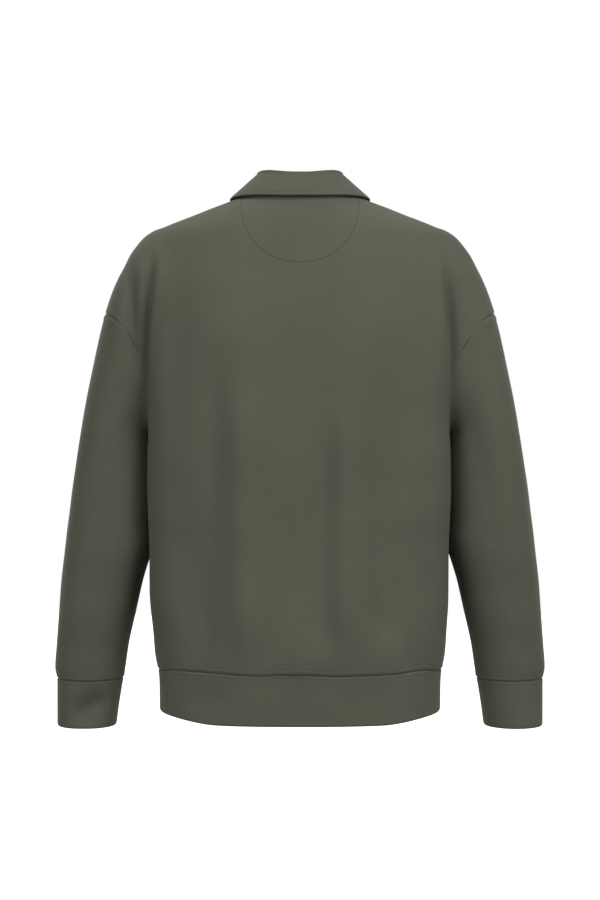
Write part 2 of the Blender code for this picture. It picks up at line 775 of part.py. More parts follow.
def build_patch(panel):
    """The half moon, from the back's own inner face, moved in."""
    points, _, normals = panel
    width = 2 * (NECK_COLUMNS + SHOULDER_COLUMNS) + 1
    inside = (points - normals * CLOTH).reshape(-1, width, 3)
    normals = normals.reshape(-1, width, 3)
    half = np.append(np.arange(0, NECK_COLUMNS), NECK_COLUMNS - PATCH_SIDE)
    middle = NECK_COLUMNS + SHOULDER_COLUMNS
    column = middle + np.concatenate([-half[:0:-1], half])
    row = np.linspace(0, 12, 481)
    reach = []
    for place in column:
        line = between(inside, row, np.full(row.shape, float(place)))
        below = line[:, 2] < along(HALF_MOON, "edge", np.abs(line[:, 0]))
        reach.append(row[np.argmax(below)])
    share = np.linspace(0, 1, PATCH_ROWS + 1)[:, None]
    row = PATCH_TOP + (np.array(reach) - PATCH_TOP) * share
    column = column + 0 * row
    outer = between(inside, row, column)
    normal = unit(between(normals, row, column))
    outer = (outer - normal * PATCH_GAP).reshape(-1, 3)
    normal = normal.reshape(-1, 3)
    faces = faced_out(outer, cells(*row.shape), normal)
    faces = split(outer, faces, normal, -1)
    shell("neck_patch", outer, outer - normal * PATCH_CLOTH, faces)


def zip_line(panel, top_drop, below, depth):
    """The slit's own heights, and points behind its edge by this depth."""
    points, _, normals = panel
    width = 2 * (NECK_COLUMNS + SHOULDER_COLUMNS + 1)
    edge = points.reshape(-1, width, 3)[:, width // 2]
    out = normals.reshape(-1, width, 3)[:, width // 2]
    z = np.concatenate([
        [edge[0, 2] - top_drop],
        edge[(edge[:, 2] < edge[0, 2] - 0.008) & (edge[:, 2] > ZIP_BOTTOM + 0.004), 2],
        [ZIP_BOTTOM + 0.0008],
    ])
    if below > 0:
        z = np.append(z, ZIP_BOTTOM - below)
    line = np.stack([np.interp(-z, -edge[:, 2], edge[:, i]) for i in range(3)], axis=-1)
    out = unit(np.stack([np.interp(-z, -edge[:, 2], out[:, i]) for i in range(3)], axis=-1))
    out[:, 0] = 0
    line[:, 0] = 0
    return line - unit(out) * depth, unit(out)


def bar(name, line, out, side_in, side_out, half_depth, colour, metallic=0.0):
    """A long bar beside the middle, square in section."""
    points = []
    for centre, away in zip(line, out):
        for x, d in ((side_in, 1), (side_out, 1), (side_out, -1), (side_in, -1)):
            points.append(centre + np.array([x, 0, 0]) + away * d * half_depth)
    points = np.array(points)
    faces = []
    for i in range(len(line) - 1):
        for j in range(4):
            a = i * 4 + j
            b = i * 4 + (j + 1) % 4
            faces.append((a, b, b + 4, a + 4))
    last = len(points) - 4
    faces.append((3, 2, 1, 0))
    faces.append((last, last + 1, last + 2, last + 3))
    a, b, c = points[0], points[1], points[4]
    if np.dot(np.cross(b - a, c - a), out[0]) < 0:
        faces = [face[::-1] for face in faces]
    return add_object(name, points, faces, colour, False, metallic, 0.5)


def plate(name, frame, rows, low, high, window=(), material=(METAL, 1.0, 0.35)):
    """A flat piece across the zip: rows of (along, half widths), w low to high."""
    centre, out, run = frame
    outer = []
    inner = []
    for u, across in rows:
        for x in across:
            spot = centre + run * u + np.array([x, 0.0, 0.0])
            outer.append(spot + out * high)
            inner.append(spot + out * low)
    faces = [face for i, face in enumerate(cells(len(rows), len(rows[0][1]))) if i not in window]
    outer = np.array(outer)
    faces = faced_out(outer, faces, np.tile(out, (len(outer), 1)))
    item = shell(name, outer, np.array(inner), faces, material[0])
    finish(item, *material[1:])
    return item


def bail(name, frame):
    """The arch on the slider's face, seen from the side as a bent strip."""
    centre, out, run = frame
    base = CHAIN_DEPTH / 2 + SLIDER_CLEARANCE + SLIDER_PLATE
    top = base + BAIL_RISE
    low = base - SLIDER_PLATE / 2
    span = BAIL_SPAN / 2
    wall = BAIL_WALL
    path = (
        ((-span, low), (-span + wall, low)),
        ((-span, top - wall), (-span + wall, top - wall)),
        ((-span + wall, top), (-span + wall * 1.2, top - wall)),
        ((span - wall, top), (span - wall * 1.2, top - wall)),
        ((span, top - wall), (span - wall, top - wall)),
        ((span, low), (span - wall, low)),
    )
    sides = []
    for x in (BAIL_HALF_WIDTH, -BAIL_HALF_WIDTH):
        sides.append(np.array([
            centre + run * u + out * w + np.array([x, 0.0, 0.0]) for pair in path for u, w in pair
        ]))
    faces = faced_out(sides[0], cells(len(path), 2), np.tile([1.0, 0.0, 0.0], (12, 1)))
    return shell(name, sides[0], sides[1], faces, METAL)


def finish(item, metallic, roughness):
    """Flat faces and a metal finish."""
    for polygon in item.data.polygons:
        polygon.use_smooth = False
    shader = item.data.materials[0].node_tree.nodes["Principled BSDF"]
    shader.inputs["Metallic"].default_value = metallic
    shader.inputs["Roughness"].default_value = roughness


def join(main, extra):
    """Makes the extra pieces part of the main one."""
    for item in extra:
        change = main.modifiers.new(item.name, "BOOLEAN")
        change.operation = "UNION"
        change.solver = "EXACT"
        change.object = item
        item.hide_render = True
        item.display_type = "WIRE"


def build_zip(panel):
    """Tapes, chain, slider and pull, behind the slit of the front."""
    depth = CLOTH + TAPE_GAP + TAPE_CLOTH / 2
    line, out = zip_line(panel, 0.0016, TAPE_TAIL, depth)
    for name, side in (("zip_tape_left", 1), ("zip_tape_right", -1)):
        bar(name, line, out, side * TAPE_INNER, side * TAPE_OUTER, TAPE_CLOTH / 2, FABRIC)
    drop = line[0, 2] - line[:, 2]
    middle = np.array([np.interp(SLIDER_DROP, drop, line[:, i]) for i in range(3)])
    away = unit(np.array([np.interp(SLIDER_DROP, drop, out[:, i]) for i in range(3)]))
    frame = (middle, away, np.cross([1.0, 0.0, 0.0], away))
    half = SLIDER_LENGTH / 2
    wide = SLIDER_HALF_WIDTH
    gap = CHAIN_DEPTH / 2 + SLIDER_CLEARANCE
    chain_top = line[0, 2] - middle[2] - (half - WEDGE_LENGTH - SLIDER_CLEARANCE) * 0.94
    chain, out = zip_line(panel, 0.0016 + chain_top, 0.0, depth)
    bar("zip_chain", chain, out, -CHAIN_HALF_WIDTH, CHAIN_HALF_WIDTH, CHAIN_DEPTH / 2, METAL, 1.0)
    rows = (
        (-half, (-wide * 0.80, wide * 0.80)),
        (-half + 0.0015, (-wide, wide)),
        (0.0, (-wide, wide)),
        (half - 0.0010, (-wide * 0.78, wide * 0.78)),
        (half, (-wide * 0.62, wide * 0.62)),
    )
    front = plate("zip_slider", frame, rows, gap, gap + SLIDER_PLATE)
    back = plate("slider_back", frame, rows, -gap - SLIDER_PLATE, -gap)
    wedge_rows = (
        (-half + 0.0003, (-WEDGE_HALF_WIDTH * 0.6, WEDGE_HALF_WIDTH * 0.6)),
        (-half + 0.0012, (-WEDGE_HALF_WIDTH, WEDGE_HALF_WIDTH)),
        (-half + WEDGE_LENGTH, (-WEDGE_HALF_WIDTH * 0.5, WEDGE_HALF_WIDTH * 0.5)),
    )
    reach = gap + SLIDER_PLATE / 2
    wedge = plate("slider_wedge", frame, wedge_rows, -reach, reach)
    join(front, (wedge, back, bail("slider_bail", frame)))
    axis = gap + SLIDER_PLATE + BAIL_HOLE
    bar_half = PULL_THICKNESS / 2
    wide = PULL_HALF_WIDTH
    arm = PULL_WINDOW
    rows = (
        (-bar_half, (-wide, -arm, arm, wide)),
        (bar_half, (-wide, -arm, arm, wide)),
        (PULL_WINDOW_END, (-wide, -arm, arm, wide)),
        (PULL_LENGTH - 0.0030, (-wide, -arm, arm, wide)),
        (PULL_LENGTH - 0.0008, (-wide * 0.75, -arm * 0.75, arm * 0.75, wide * 0.75)),
        (PULL_LENGTH, (-wide * 0.45, -arm * 0.45, arm * 0.45, wide * 0.45)),
    )
    plate("zip_pull", frame, rows, axis - bar_half, axis + bar_half, (4,))


def remove_everything():
    for item in list(bpy.data.objects):
        bpy.data.objects.remove(item, do_unlink=True)


def build():
    remove_everything()
    back = body_panel(1)
    cloth("back_panel", *back, CLOTH)
    build_patch(back)
    front = body_panel(-1)
    cloth("front_panel", *front, CLOTH)
    build_zip(front)
    points, faces, normals, rings = sleeve_panel()
    cloth("sleeve_left", points, faces, normals, CLOTH)
    cloth("sleeve_right", *mirrored(points, faces, normals), CLOTH)
    build_collar()
    axis = [float(v) for v in sleeve_axis(CUFF_SEAM)]
    for name, flip in (("cuff_left", False), ("cuff_right", True)):
        build_band(name, sleeve, axis, CUFF_SEAM, CUFF_EDGE, rings[-1], BAND_CLOTH, flip)
    turn = np.linspace(0, 2 * np.pi, 49)[:-1]
    ring = cast(trunk, 0.0, 0.0, turn, HEM_SEAM)
    bottom = hem_edge(ring[:, 0])
    build_band("hem_band", trunk, (0.0, 0.0), HEM_SEAM, bottom, ring, BAND_CLOTH)


build()
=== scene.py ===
"""A half zip sweatshirt, filled out as if worn, with nobody in it.

Every piece of cloth is a finer shell on the same form as its solid: a trunk
and two hanging sleeves given by level sections and run together by a soft
union. Creases are soft troughs and ridges from short tables. Seams sink and
their allowances stand a little proud, and the stitches are pieces of thread.
Metres, +Z up. The front faces -Y and the wearer's left is +X.
"""

import bmesh
import bpy
import numpy as np
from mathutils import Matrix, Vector


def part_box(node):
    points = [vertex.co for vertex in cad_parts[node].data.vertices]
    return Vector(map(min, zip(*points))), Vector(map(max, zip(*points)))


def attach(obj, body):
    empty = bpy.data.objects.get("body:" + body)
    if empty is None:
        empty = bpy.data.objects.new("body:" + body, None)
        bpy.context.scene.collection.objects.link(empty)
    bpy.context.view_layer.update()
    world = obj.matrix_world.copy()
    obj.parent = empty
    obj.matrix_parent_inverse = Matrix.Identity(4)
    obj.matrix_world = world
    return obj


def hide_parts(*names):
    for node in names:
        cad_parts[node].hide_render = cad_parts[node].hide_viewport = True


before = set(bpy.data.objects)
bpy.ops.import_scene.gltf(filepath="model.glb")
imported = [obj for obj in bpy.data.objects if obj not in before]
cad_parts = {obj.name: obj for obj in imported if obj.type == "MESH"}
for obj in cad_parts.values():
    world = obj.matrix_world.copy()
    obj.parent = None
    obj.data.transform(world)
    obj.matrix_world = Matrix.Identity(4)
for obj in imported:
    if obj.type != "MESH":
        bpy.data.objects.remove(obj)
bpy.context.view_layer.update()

MIRROR = np.array([-1.0, 1.0, 1.0])

# Cloth and the grids it is laid on
CLOTH = 0.0020
BAND_CLOTH = 0.0028
SEAM_GAP = 0.0003
SHARPEST_CORNER = 0.35
CELL = 0.0050
BAND_CELL = 0.0040
COLLAR_CELL = 0.0030
FINE_CELL = 0.0010
FINE_STRIP = 0.0090
CURVE_POINTS = 2001
EVEN_ROUNDS = 600
EVEN_CHECK = 20
MOST_MOVE = 0.02
LEAST_SLOPE_SQUARE = 0.05

# How cloth lies along a seam or an edge. A pull of 0 is no line of stitches
SEAMS = (
    ("kind", "sink", "reach", "rise", "allowance", "stitch", "pull", "width"),
    ("neck", 0.0010, 0.0016, 0.0005, 0.0085, 0, 0, 0.0009),
    ("shoulder", 0.0007, 0.0014, 0.0005, 0.0085, 0, 0, 0.0009),
    ("panel side", 0.0015, 0.0018, 0.0003, 0.0085, 0, 0, 0.0009),
    ("panel hem", 0.0017, 0.0020, 0.0008, 0.0073, 0.0065, 0.0006, 0.0009),
    ("zip", 0.0007, 0.0012, 0.0004, 0.0053, 0.0045, 0.0004, 0.0009),
    ("sleeve top", 0.0015, 0.0018, 0.0005, 0.0085, 0, 0, 0.0009),
    ("underarm", 0.0009, 0.0016, 0.0003, 0.0085, 0, 0, 0.0009),
    ("sleeve cuff", 0.0015, 0.0018, 0.0007, 0.0058, 0.0050, 0.0005, 0.0009),
    ("band", 0.0016, 0.0018, 0.0005, 0.0051, 0.0045, 0.0005, 0.0009),
    ("band edge", 0.0011, 0.0013, 0, 0.0085, 0, 0, 0.0009),
    ("collar edge", 0.0007, 0.0011, 0, 0.0085, 0.0050, 0.0005, 0.0008),
)
ALLOWANCE_EDGE = 0.0009

# Where the armhole seam is pressed flat, and where the side seam starts
ARMHOLE_FLAT = -0.2350
ARMHOLE_FADE = 0.0300
ARMHOLE_LEAST = 0.3
SIDE_SEAM_TOP = -0.3150
SIDE_SEAM_FADE = 0.0100

# Stitches, and the rings of points from end to end of one
STITCH_LENGTH = 0.0024
STITCH_PITCH = 0.0030
STITCH_RADIUS = 0.00022
STITCH_SIDES = 6
STITCH_LOOK = 0.0005
STITCH_RINGS = (
    ("place", "width", "lift"),
    (-0.5, 0.55, -0.9),
    (-0.25, 0.95, 0.35),
    (0.25, 0.95, 0.35),
    (0.5, 0.55, -0.9),
)

# Heights of the seams and edges
HEM_SEAM = -0.6165
HEM_EDGE = -0.6825
HEM_LIFT = 0.0070
HEM_LIFT_FROM = 0.1050
HEM_LIFT_TO = 0.1850
CUFF_SEAM = -0.6390
CUFF_EDGE = -0.7030
SIDE_SEAM_Y = -0.010
SLEEVE_LENGTH = 0.43

# Neck seam, in plan
NECK_HALF_WIDTH = 0.0760
NECK_BACK = 0.0680
NECK_FRONT = 0.0950

# Collar, in plan and up from the neck seam
FOLD_HALF_WIDTH = 0.0545
FOLD_BACK = 0.0570
FOLD_FRONT = 0.0830
FOLD_RADIUS = 0.0034
EDGE_HALF_WIDTH = 0.0925
EDGE_BACK = 0.0745
EDGE_FRONT = 0.1110
EDGE_SQUARENESS = 0.8
EDGE_CLEARANCE = 0.0016
FRONT_TURN = 176.3
FOLD_OPENING = 0.0075
POINT_TURN = 156.0
STAND_ROWS = 10
FOLD_ROWS = 12
FALL_ROW = STAND_ROWS + FOLD_ROWS
FALL_LENGTH = 0.034
ROLL_SHARE = 0.7
LIFT_ROUNDS = 4
LEAST_SLOPE = 0.2

# Half moon inside the back neck
PATCH_SHARE = 0.955
PATCH_FIRST_ROW = 1.2
PATCH_LAST_ROW = 60
PATCH_PLACES = 1500
PATCH_COLUMNS = 40
PATCH_ROWS = 34
PATCH_CLOTH = 0.0012
PATCH_GAP = 0.0008

# Zip
ZIP_BOTTOM = -0.3120
SLIT_HALF_WIDTH = 0.0050
TAPE_CLOTH = 0.0009
TAPE_GAP = 0.0005
TAPE_MIDDLE = 0.0060
TOOTH_PITCH = 0.0014
TOOTH_ENDS = 0.0012

# Half of a tooth's outline, and its levels out of the cloth, in millimetres
TOOTH_OUTLINE = (
    ("across", "up"),
    (2.15, 0.62),
    (1.15, 0.58),
    (0.75, 0.40),
    (0.35, 0.40),
    (0.05, 0.60),
    (-0.45, 0.56),
    (-0.75, 0.30),
)
TOOTH_LEVELS = (
    ("level", "size"),
    (-1.05, 0.80),
    (-0.80, 1.00),
    (0.80, 1.00),
    (1.05, 0.80),
)
TOOTH_MIDDLE = 0.7
TOOTH_SPARE = 0.98
MILLIMETRE = 0.001

# Width and segments of the rounded edges of slider and pull
SLIDER_ROUNDING = (0.00022, 2)
PULL_ROUNDING = (0.00028, 3)

# Level sections of the trunk and of a sleeve
TRUNK = (
    ("height", "half_width", "back", "front", "squareness"),
    (0.0200, 0.0400, 0.0500, 0.0400, 2.00),
    (0.0043, 0.0780, 0.0610, 0.0520, 2.00),
    (-0.0042, 0.0950, 0.0680, 0.0600, 2.00),
    (-0.0133, 0.1190, 0.0755, 0.0680, 2.00),
    (-0.0240, 0.1455, 0.0820, 0.0750, 2.05),
    (-0.0347, 0.1730, 0.0880, 0.0810, 2.10),
    (-0.0440, 0.1925, 0.0925, 0.0860, 2.20),
    (-0.0580, 0.2030, 0.0980, 0.0925, 2.35),
    (-0.0800, 0.2030, 0.1065, 0.1000, 2.50),
    (-0.1200, 0.2000, 0.1175, 0.1130, 2.80),
    (-0.1700, 0.1965, 0.1250, 0.1240, 2.90),
    (-0.2500, 0.1945, 0.1280, 0.1300, 2.90),
    (-0.3100, 0.1950, 0.1280, 0.1310, 2.80),
    (-0.3300, 0.1966, 0.1280, 0.1310, 2.75),
    (-0.3500, 0.1972, 0.1275, 0.1305, 2.70),
    (-0.3850, 0.1978, 0.1270, 0.1300, 2.60),
    (-0.4200, 0.1965, 0.1270, 0.1300, 2.60),
    (-0.4500, 0.1953, 0.1270, 0.1300, 2.50),
    (-0.5000, 0.1948, 0.1270, 0.1300, 2.50),
    (-0.5800, 0.1938, 0.1290, 0.1310, 2.45),
    (-0.6050, 0.1910, 0.1280, 0.1300, 2.50),
    (-0.6165, 0.1875, 0.1260, 0.1280, 2.60),
    (-0.6825, 0.1855, 0.1240, 0.1260, 2.70),
)

SLEEVE = (
    ("height", "outside", "inside", "centre_y", "half_depth", "squareness"),
    (-0.0400, 0.1850, 0.1780, 0.0000, 0.0060, 2.00),
    (-0.0480, 0.1990, 0.1680, 0.0000, 0.0280, 2.00),
    (-0.0560, 0.2095, 0.1580, 0.0000, 0.0400, 2.00),
    (-0.0667, 0.2200, 0.1500, 0.0000, 0.0500, 2.00),
    (-0.0960, 0.2370, 0.1420, 0.0000, 0.0630, 2.10),
    (-0.1280, 0.2512, 0.1420, -0.0020, 0.0680, 2.20),
    (-0.1600, 0.2612, 0.1470, -0.0040, 0.0700, 2.20),
    (-0.2240, 0.2763, 0.1620, -0.0080, 0.0700, 2.20),
    (-0.2880, 0.2893, 0.1930, -0.0100, 0.0680, 2.20),
    (-0.3100, 0.2930, 0.2005, -0.0100, 0.0670, 2.20),
    (-0.3300, 0.2966, 0.1999, -0.0110, 0.0660, 2.20),
    (-0.3520, 0.3003, 0.1997, -0.0120, 0.0650, 2.20),
    (-0.3850, 0.3055, 0.2000, -0.0130, 0.0630, 2.20),
    (-0.4160, 0.3093, 0.1992, -0.0140, 0.0610, 2.20),
    (-0.4400, 0.3125, 0.1978, -0.0150, 0.0600, 2.20),
    (-0.4500, 0.3137, 0.1974, -0.0155, 0.0595, 2.20),
    (-0.4650, 0.3153, 0.2008, -0.0160, 0.0590, 2.20),
    (-0.5080, 0.3204, 0.2116, -0.0180, 0.0560, 2.10),
    (-0.5512, 0.3234, 0.2212, -0.0190, 0.0540, 2.10),
    (-0.5945, 0.3271, 0.2309, -0.0215, 0.0500, 2.00),
    (-0.6260, 0.3293, 0.2356, -0.0225, 0.0475, 2.00),
    (-0.6390, 0.3265, 0.2378, -0.0230, 0.0455, 2.00),
    (-0.6700, 0.3266, 0.2430, -0.0235, 0.0435, 2.00),
    (-0.7030, 0.3266, 0.2475, -0.0240, 0.0410, 2.00),
)
SLEEVE_TOP = -0.0400

# How widely trunk and sleeve run together
MELT = (
    ("height", "width"),
    (-0.3300, 0.0001),
    (-0.3220, 0.0060),
    (-0.3100, 0.0140),
    (-0.2900, 0.0180),
    (-0.2400, 0.0180),
    (-0.1600, 0.0180),
    (-0.1000, 0.0280),
    (-0.0500, 0.0200),
)

# Armhole seam, by the turn from the outside of the sleeve round to the body
ARMHOLE = (
    ("turn", "back", "front"),
    (0.0, -0.1520, -0.1520),
    (30.0, -0.1545, -0.1550),
    (55.0, -0.1610, -0.1625),
    (72.0, -0.1733, -0.1770),
    (90.0, -0.1987, -0.2030),
    (108.0, -0.2200, -0.2240),
)
VALLEY_TOP = -0.2360

# Where some heights and turns are looked for
UNDERARM_BETWEEN = (-0.3300, -0.2800)
TOP_BETWEEN = (-0.25, 0.03)
VALLEY_BETWEEN = (60.0, 180.0)

# Rise of the collar's fold over the neck seam, and of its edge over the cloth
COLLAR = (
    ("turn", "fold_rise", "edge_lift", "roll"),
    (0.0, 0.0328, 0.0055, 0.0000),
    (60.0, 0.0312, 0.0015, 0.0000),
    (90.0, 0.0305, 0.0000, 0.0000),
    (135.0, 0.0280, 0.0000, 0.0040),
    (176.3, 0.0250, 0.0000, 0.0060),
)

# The half moon's lower edge, across from the middle
HALF_MOON = (
    ("across", "edge"),
    (0.0000, -0.0947),
    (0.0248, -0.0909),
    (0.0478, -0.0790),
    (0.0670, -0.0552),
    (0.0738, -0.0380),
    (0.0758, -0.0250),
    (0.0762, -0.0100),
)

# Soft troughs (minus) and ridges (plus) down the panels. Side +1 is the back
FOLDS = (
    ("side", "x_top", "top", "x_bottom", "bottom", "half_width", "depth"),
    (1, 0.106, -0.150, 0.122, -0.612, 0.019, -0.0058),
    (1, 0.075, -0.200, 0.072, -0.600, 0.018, 0.0066),
    (1, -0.026, -0.230, -0.028, -0.605, 0.017, -0.0052),
    (1, -0.057, -0.200, -0.058, -0.600, 0.016, 0.0062),
    (1, -0.106, -0.130, -0.110, -0.608, 0.019, -0.0092),
    (1, 0.180, -0.060, 0.180, -0.590, 0.020, 0.0078),
    (1, -0.178, -0.100, -0.181, -0.590, 0.018, 0.0040),
    (-1, 0.112, -0.230, 0.098, -0.600, 0.022, -0.0036),
    (-1, 0.070, -0.260, 0.064, -0.590, 0.020, 0.0022),
    (-1, -0.104, -0.250, -0.116, -0.600, 0.021, -0.0034),
    (-1, -0.062, -0.340, -0.058, -0.600, 0.019, 0.0022),
    (-1, 0.020, -0.380, 0.026, -0.600, 0.018, -0.0018),
    (-1, 0.178, -0.120, 0.180, -0.580, 0.018, 0.0040),
    (-1, -0.177, -0.110, -0.180, -0.590, 0.018, 0.0044),
)

# Small creases besides the folds
CREASES = (
    ("side", "x_top", "top", "x_bottom", "bottom", "half_width", "depth"),
    (1, 0.173, -0.050, 0.172, -0.340, 0.013, 0.0056),
    (1, 0.223, -0.075, 0.215, -0.235, 0.010, -0.0090),
    (1, 0.206, -0.085, 0.202, -0.200, 0.009, 0.0020),
    (1, -0.172, -0.050, -0.171, -0.290, 0.013, 0.0036),
    (1, 0.142, -0.360, 0.138, -0.650, 0.018, -0.0048),
    (1, -0.216, -0.110, -0.206, -0.200, 0.010, -0.0018),
    (1, 0.197, -0.270, 0.197, -0.480, 0.012, 0.0008),
    (1, -0.197, -0.270, -0.197, -0.480, 0.012, 0.0008),
    (1, 0.012, -0.500, 0.006, -0.690, 0.022, 0.0024),
    (1, 0.115, -0.520, 0.122, -0.640, 0.012, -0.0016),
    (1, -0.140, -0.560, -0.146, -0.635, 0.010, -0.0014),
    (-1, 0.164, -0.070, 0.162, -0.300, 0.016, 0.0026),
    (-1, -0.166, -0.070, -0.163, -0.300, 0.016, 0.0030),
    (-1, 0.214, -0.100, 0.205, -0.220, 0.010, -0.0024),
    (-1, -0.215, -0.095, -0.206, -0.235, 0.010, -0.0042),
    (-1, 0.197, -0.270, 0.197, -0.480, 0.012, 0.0008),
    (-1, -0.197, -0.270, -0.197, -0.480, 0.012, 0.0008),
    (-1, 0.058, -0.330, 0.070, -0.600, 0.022, 0.0014),
    (-1, -0.050, -0.340, -0.058, -0.560, 0.020, -0.0012),
    (-1, 0.000, -0.330, 0.004, -0.500, 0.016, 0.0012),
    (-1, 0.150, -0.300, 0.158, -0.600, 0.014, -0.0012),
    (-1, -0.152, -0.330, -0.156, -0.600, 0.014, -0.0014),
)

# Edges where a panel turns sharply into the valley beside the sleeve
LIPS = (
    ("side", "x_top", "top", "x_bottom", "bottom", "half_width", "depth"),
    (1, 0.1870, -0.070, 0.1890, -0.265, 0.0100, 0.0062),
    (1, -0.1840, -0.075, -0.1890, -0.265, 0.0100, 0.0062),
    (-1, 0.1840, -0.085, 0.1880, -0.260, 0.0110, 0.0048),
    (-1, -0.1850, -0.080, -0.1885, -0.260, 0.0105, 0.0054),
)

# Creases round a sleeve, by the turn from its outside. Side +1 is the left
SLEEVE_CREASES = (
    ("side", "turn_top", "top", "turn_bottom", "bottom", "half_width", "depth"),
    (1, 180, -0.330, 180, -0.510, 0.050, 0.0024),
    (1, 165, -0.260, 165, -0.430, 0.036, 0.0056),
    (1, 118, -0.230, 100, -0.420, 0.014, -0.0022),
    (1, 70, -0.300, 62, -0.600, 0.020, 0.0014),
    (1, -60, -0.330, -120, -0.420, 0.012, -0.0024),
    (1, -40, -0.390, -110, -0.480, 0.012, -0.0018),
    (1, 10, -0.240, 24, -0.560, 0.018, -0.0012),
    (1, 95, -0.540, 60, -0.630, 0.012, -0.0014),
    (-1, 180, -0.330, 180, -0.510, 0.050, 0.0024),
    (-1, 165, -0.260, 165, -0.430, 0.036, 0.0056),
    (-1, 112, -0.240, 96, -0.440, 0.014, -0.0018),
    (-1, 66, -0.320, 58, -0.610, 0.020, 0.0012),
    (-1, -58, -0.350, -118, -0.430, 0.012, -0.0022),
    (-1, -44, -0.410, -104, -0.500, 0.012, -0.0018),
    (-1, 16, -0.260, 28, -0.570, 0.018, -0.0010),
    (-1, 88, -0.560, 58, -0.630, 0.012, -0.0014),
)
SLEEVE_RADIUS = 0.062

# How each of these fades towards its ends
FOLD_START = 0.40
FOLD_END = 0.14
CREASE_FADE = 1.2
LIP_RATIO = 2.33

# How far the cloth beside the underarms stands off its form, back and front
POCKET_X = 0.1960
POCKET_Z = -0.2900
POCKET_WIDTH = 0.0150
POCKET_TALL = 0.0550
POCKET_RISE = 0.0060
SIDE_FADE = 0.0200

# How far the hem seam wanders up from level, by x
HEM_WAVE = (
    ("x", "rise"),
    (-0.1900, -0.0062),
    (-0.1760, -0.0034),
    (-0.1560, 0.0006),
    (-0.1180, -0.0016),
    (-0.0880, -0.0018),
    (-0.0440, -0.0022),
    (0.0000, 0.0004),
    (0.0300, 0.0000),
    (0.0460, -0.0018),
    (0.0660, -0.0014),
    (0.1180, 0.0008),
    (0.1600, 0.0006),
    (0.1760, -0.0030),
    (0.1900, -0.0060),
)
WAVE_REACH = 0.024

# Soft dents in the bands, by the turn from +X
BAND_DENTS = (
    ("band", "turn", "height", "width", "tall", "depth"),
    ("cuff_left", 110, -0.670, 24, 0.016, -0.0092),
    ("cuff_left", 84, -0.680, 20, 0.017, -0.0092),
    ("cuff_left", 60, -0.655, 16, 0.020, 0.0022),
    ("cuff_left", -70, -0.672, 26, 0.014, -0.0016),
    ("cuff_right", 60, -0.670, 26, 0.016, -0.0010),
    ("cuff_right", -90, -0.680, 22, 0.013, -0.0016),
    ("hem_band", 44, -0.652, 8, 0.020, -0.0030),
    ("hem_band", 68, -0.650, 9, 0.018, 0.0010),
    ("hem_band", 100, -0.655, 12, 0.018, 0.0010),
    ("hem_band", 128, -0.648, 8, 0.016, -0.0012),
    ("hem_band", -70, -0.650, 10, 0.018, -0.0012),
    ("hem_band", -118, -0.655, 11, 0.018, 0.0010),
)

# The half moon's line of stitches on the outside, and the painted shade that darkens its groove
MOON_HALF_WIDTH = 0.0762
MOON_TOP = -0.0100
MOON_DEPTH = 0.0847
MOON_SQUARENESS = 2.2
MOON_LINE = 0.00055
# Share of painted shade mixed into the colour along the half moon's groove
MOON_PAINTED_SHADE = 0.55
MOON_SINK = 0.00012
MOON_STITCH = 0.9
MOON_POINTS = 3000
MOON_LINE_POINTS = 400
MOON_START_Y = 0.0200

# Colours, weave, light and stage
WALE = 0.0011
WALE_SLANT = 0.83
COURSE = 0.0009
TWILL = 0.0009
GRAIN_DEPTH = 0.145
SHEEN = 0.02
FABRIC = (0.100, 0.1045, 0.0763)
NAP_COLOUR = (0.105, 0.109, 0.083)
THREAD_COLOUR = (0.064, 0.066, 0.049)
TAPE_COLOUR = (0.060, 0.062, 0.046)
METAL = (0.16, 0.16, 0.15)
AMBIENT_ABOVE = 0.44
AMBIENT_BELOW = 0.12
FLOOR_HEIGHT = -1.45
FLOOR_GLOW = 1.0
FLOOR_HALF = 9.0
CAMERA_PLACE = (0.0, 2.2, -0.3333)

# The lights behind. Each has a twin in front, turned half round
LIGHTS = (
    ("name", "x", "y", "z", "size", "power"),
    ("key", -2.2, 2.9, 0.5, 1.4, 43.0),
    ("fill", 2.1, 2.9, 0.2, 1.4, 36.0),
    ("top", -1.0, 1.3, 2.4, 1.2, 38.0),
)
LIGHTS_AIM = (0.0, 0.0, -0.30)


# ---- sections and fields ---------------------------------------------------
def smooth_curve(place, value):
    """Cubic pieces through the values, none overshooting."""
    step = np.diff(value) / np.diff(place)
    slope = np.gradient(value, place)
    for i in range(1, len(value) - 1):
        most = 3 * min(abs(step[i - 1]), abs(step[i])) * (step[i - 1] * step[i] > 0)
        slope[i] = np.clip(slope[i], -most, most)
    fine = np.linspace(place[0], place[-1], CURVE_POINTS)
    i = np.clip(np.searchsorted(place, fine, side="right") - 1, 0, len(place) - 2)
    width = place[i + 1] - place[i]
    t = (fine - place[i]) / width
    start = (2 * t**3 - 3 * t**2 + 1) * value[i] + (t**3 - 2 * t**2 + t) * width * slope[i]
    end = (3 * t**2 - 2 * t**3) * value[i + 1] + (t**3 - t**2) * width * slope[i + 1]
    return fine, start + end


# Curves that have been worked out already, by a table's heading and a column
CURVES = {}


def along(table, name, at):
    """A table's column as a smooth curve of its first column."""
    key = (table[0], name)
    if key not in CURVES:
        rows = np.array(table[1:], float)
        rows = rows[np.argsort(rows[:, 0])]
        CURVES[key] = smooth_curve(rows[:, 0], rows[:, table[0].index(name)])
    return np.interp(at, *CURVES[key])


def eased(share):
    """A share that starts and ends gently."""
    return share * share * (3 - 2 * share)


def halved(low, high, is_low, rounds=40):
    """Closes in on the place between two where is_low turns false."""
    for _ in range(rounds):
        middle = (low + high) / 2
        below = is_low(middle)
        low = np.where(below, middle, low)
        high = np.where(below, high, middle)
    return low, high


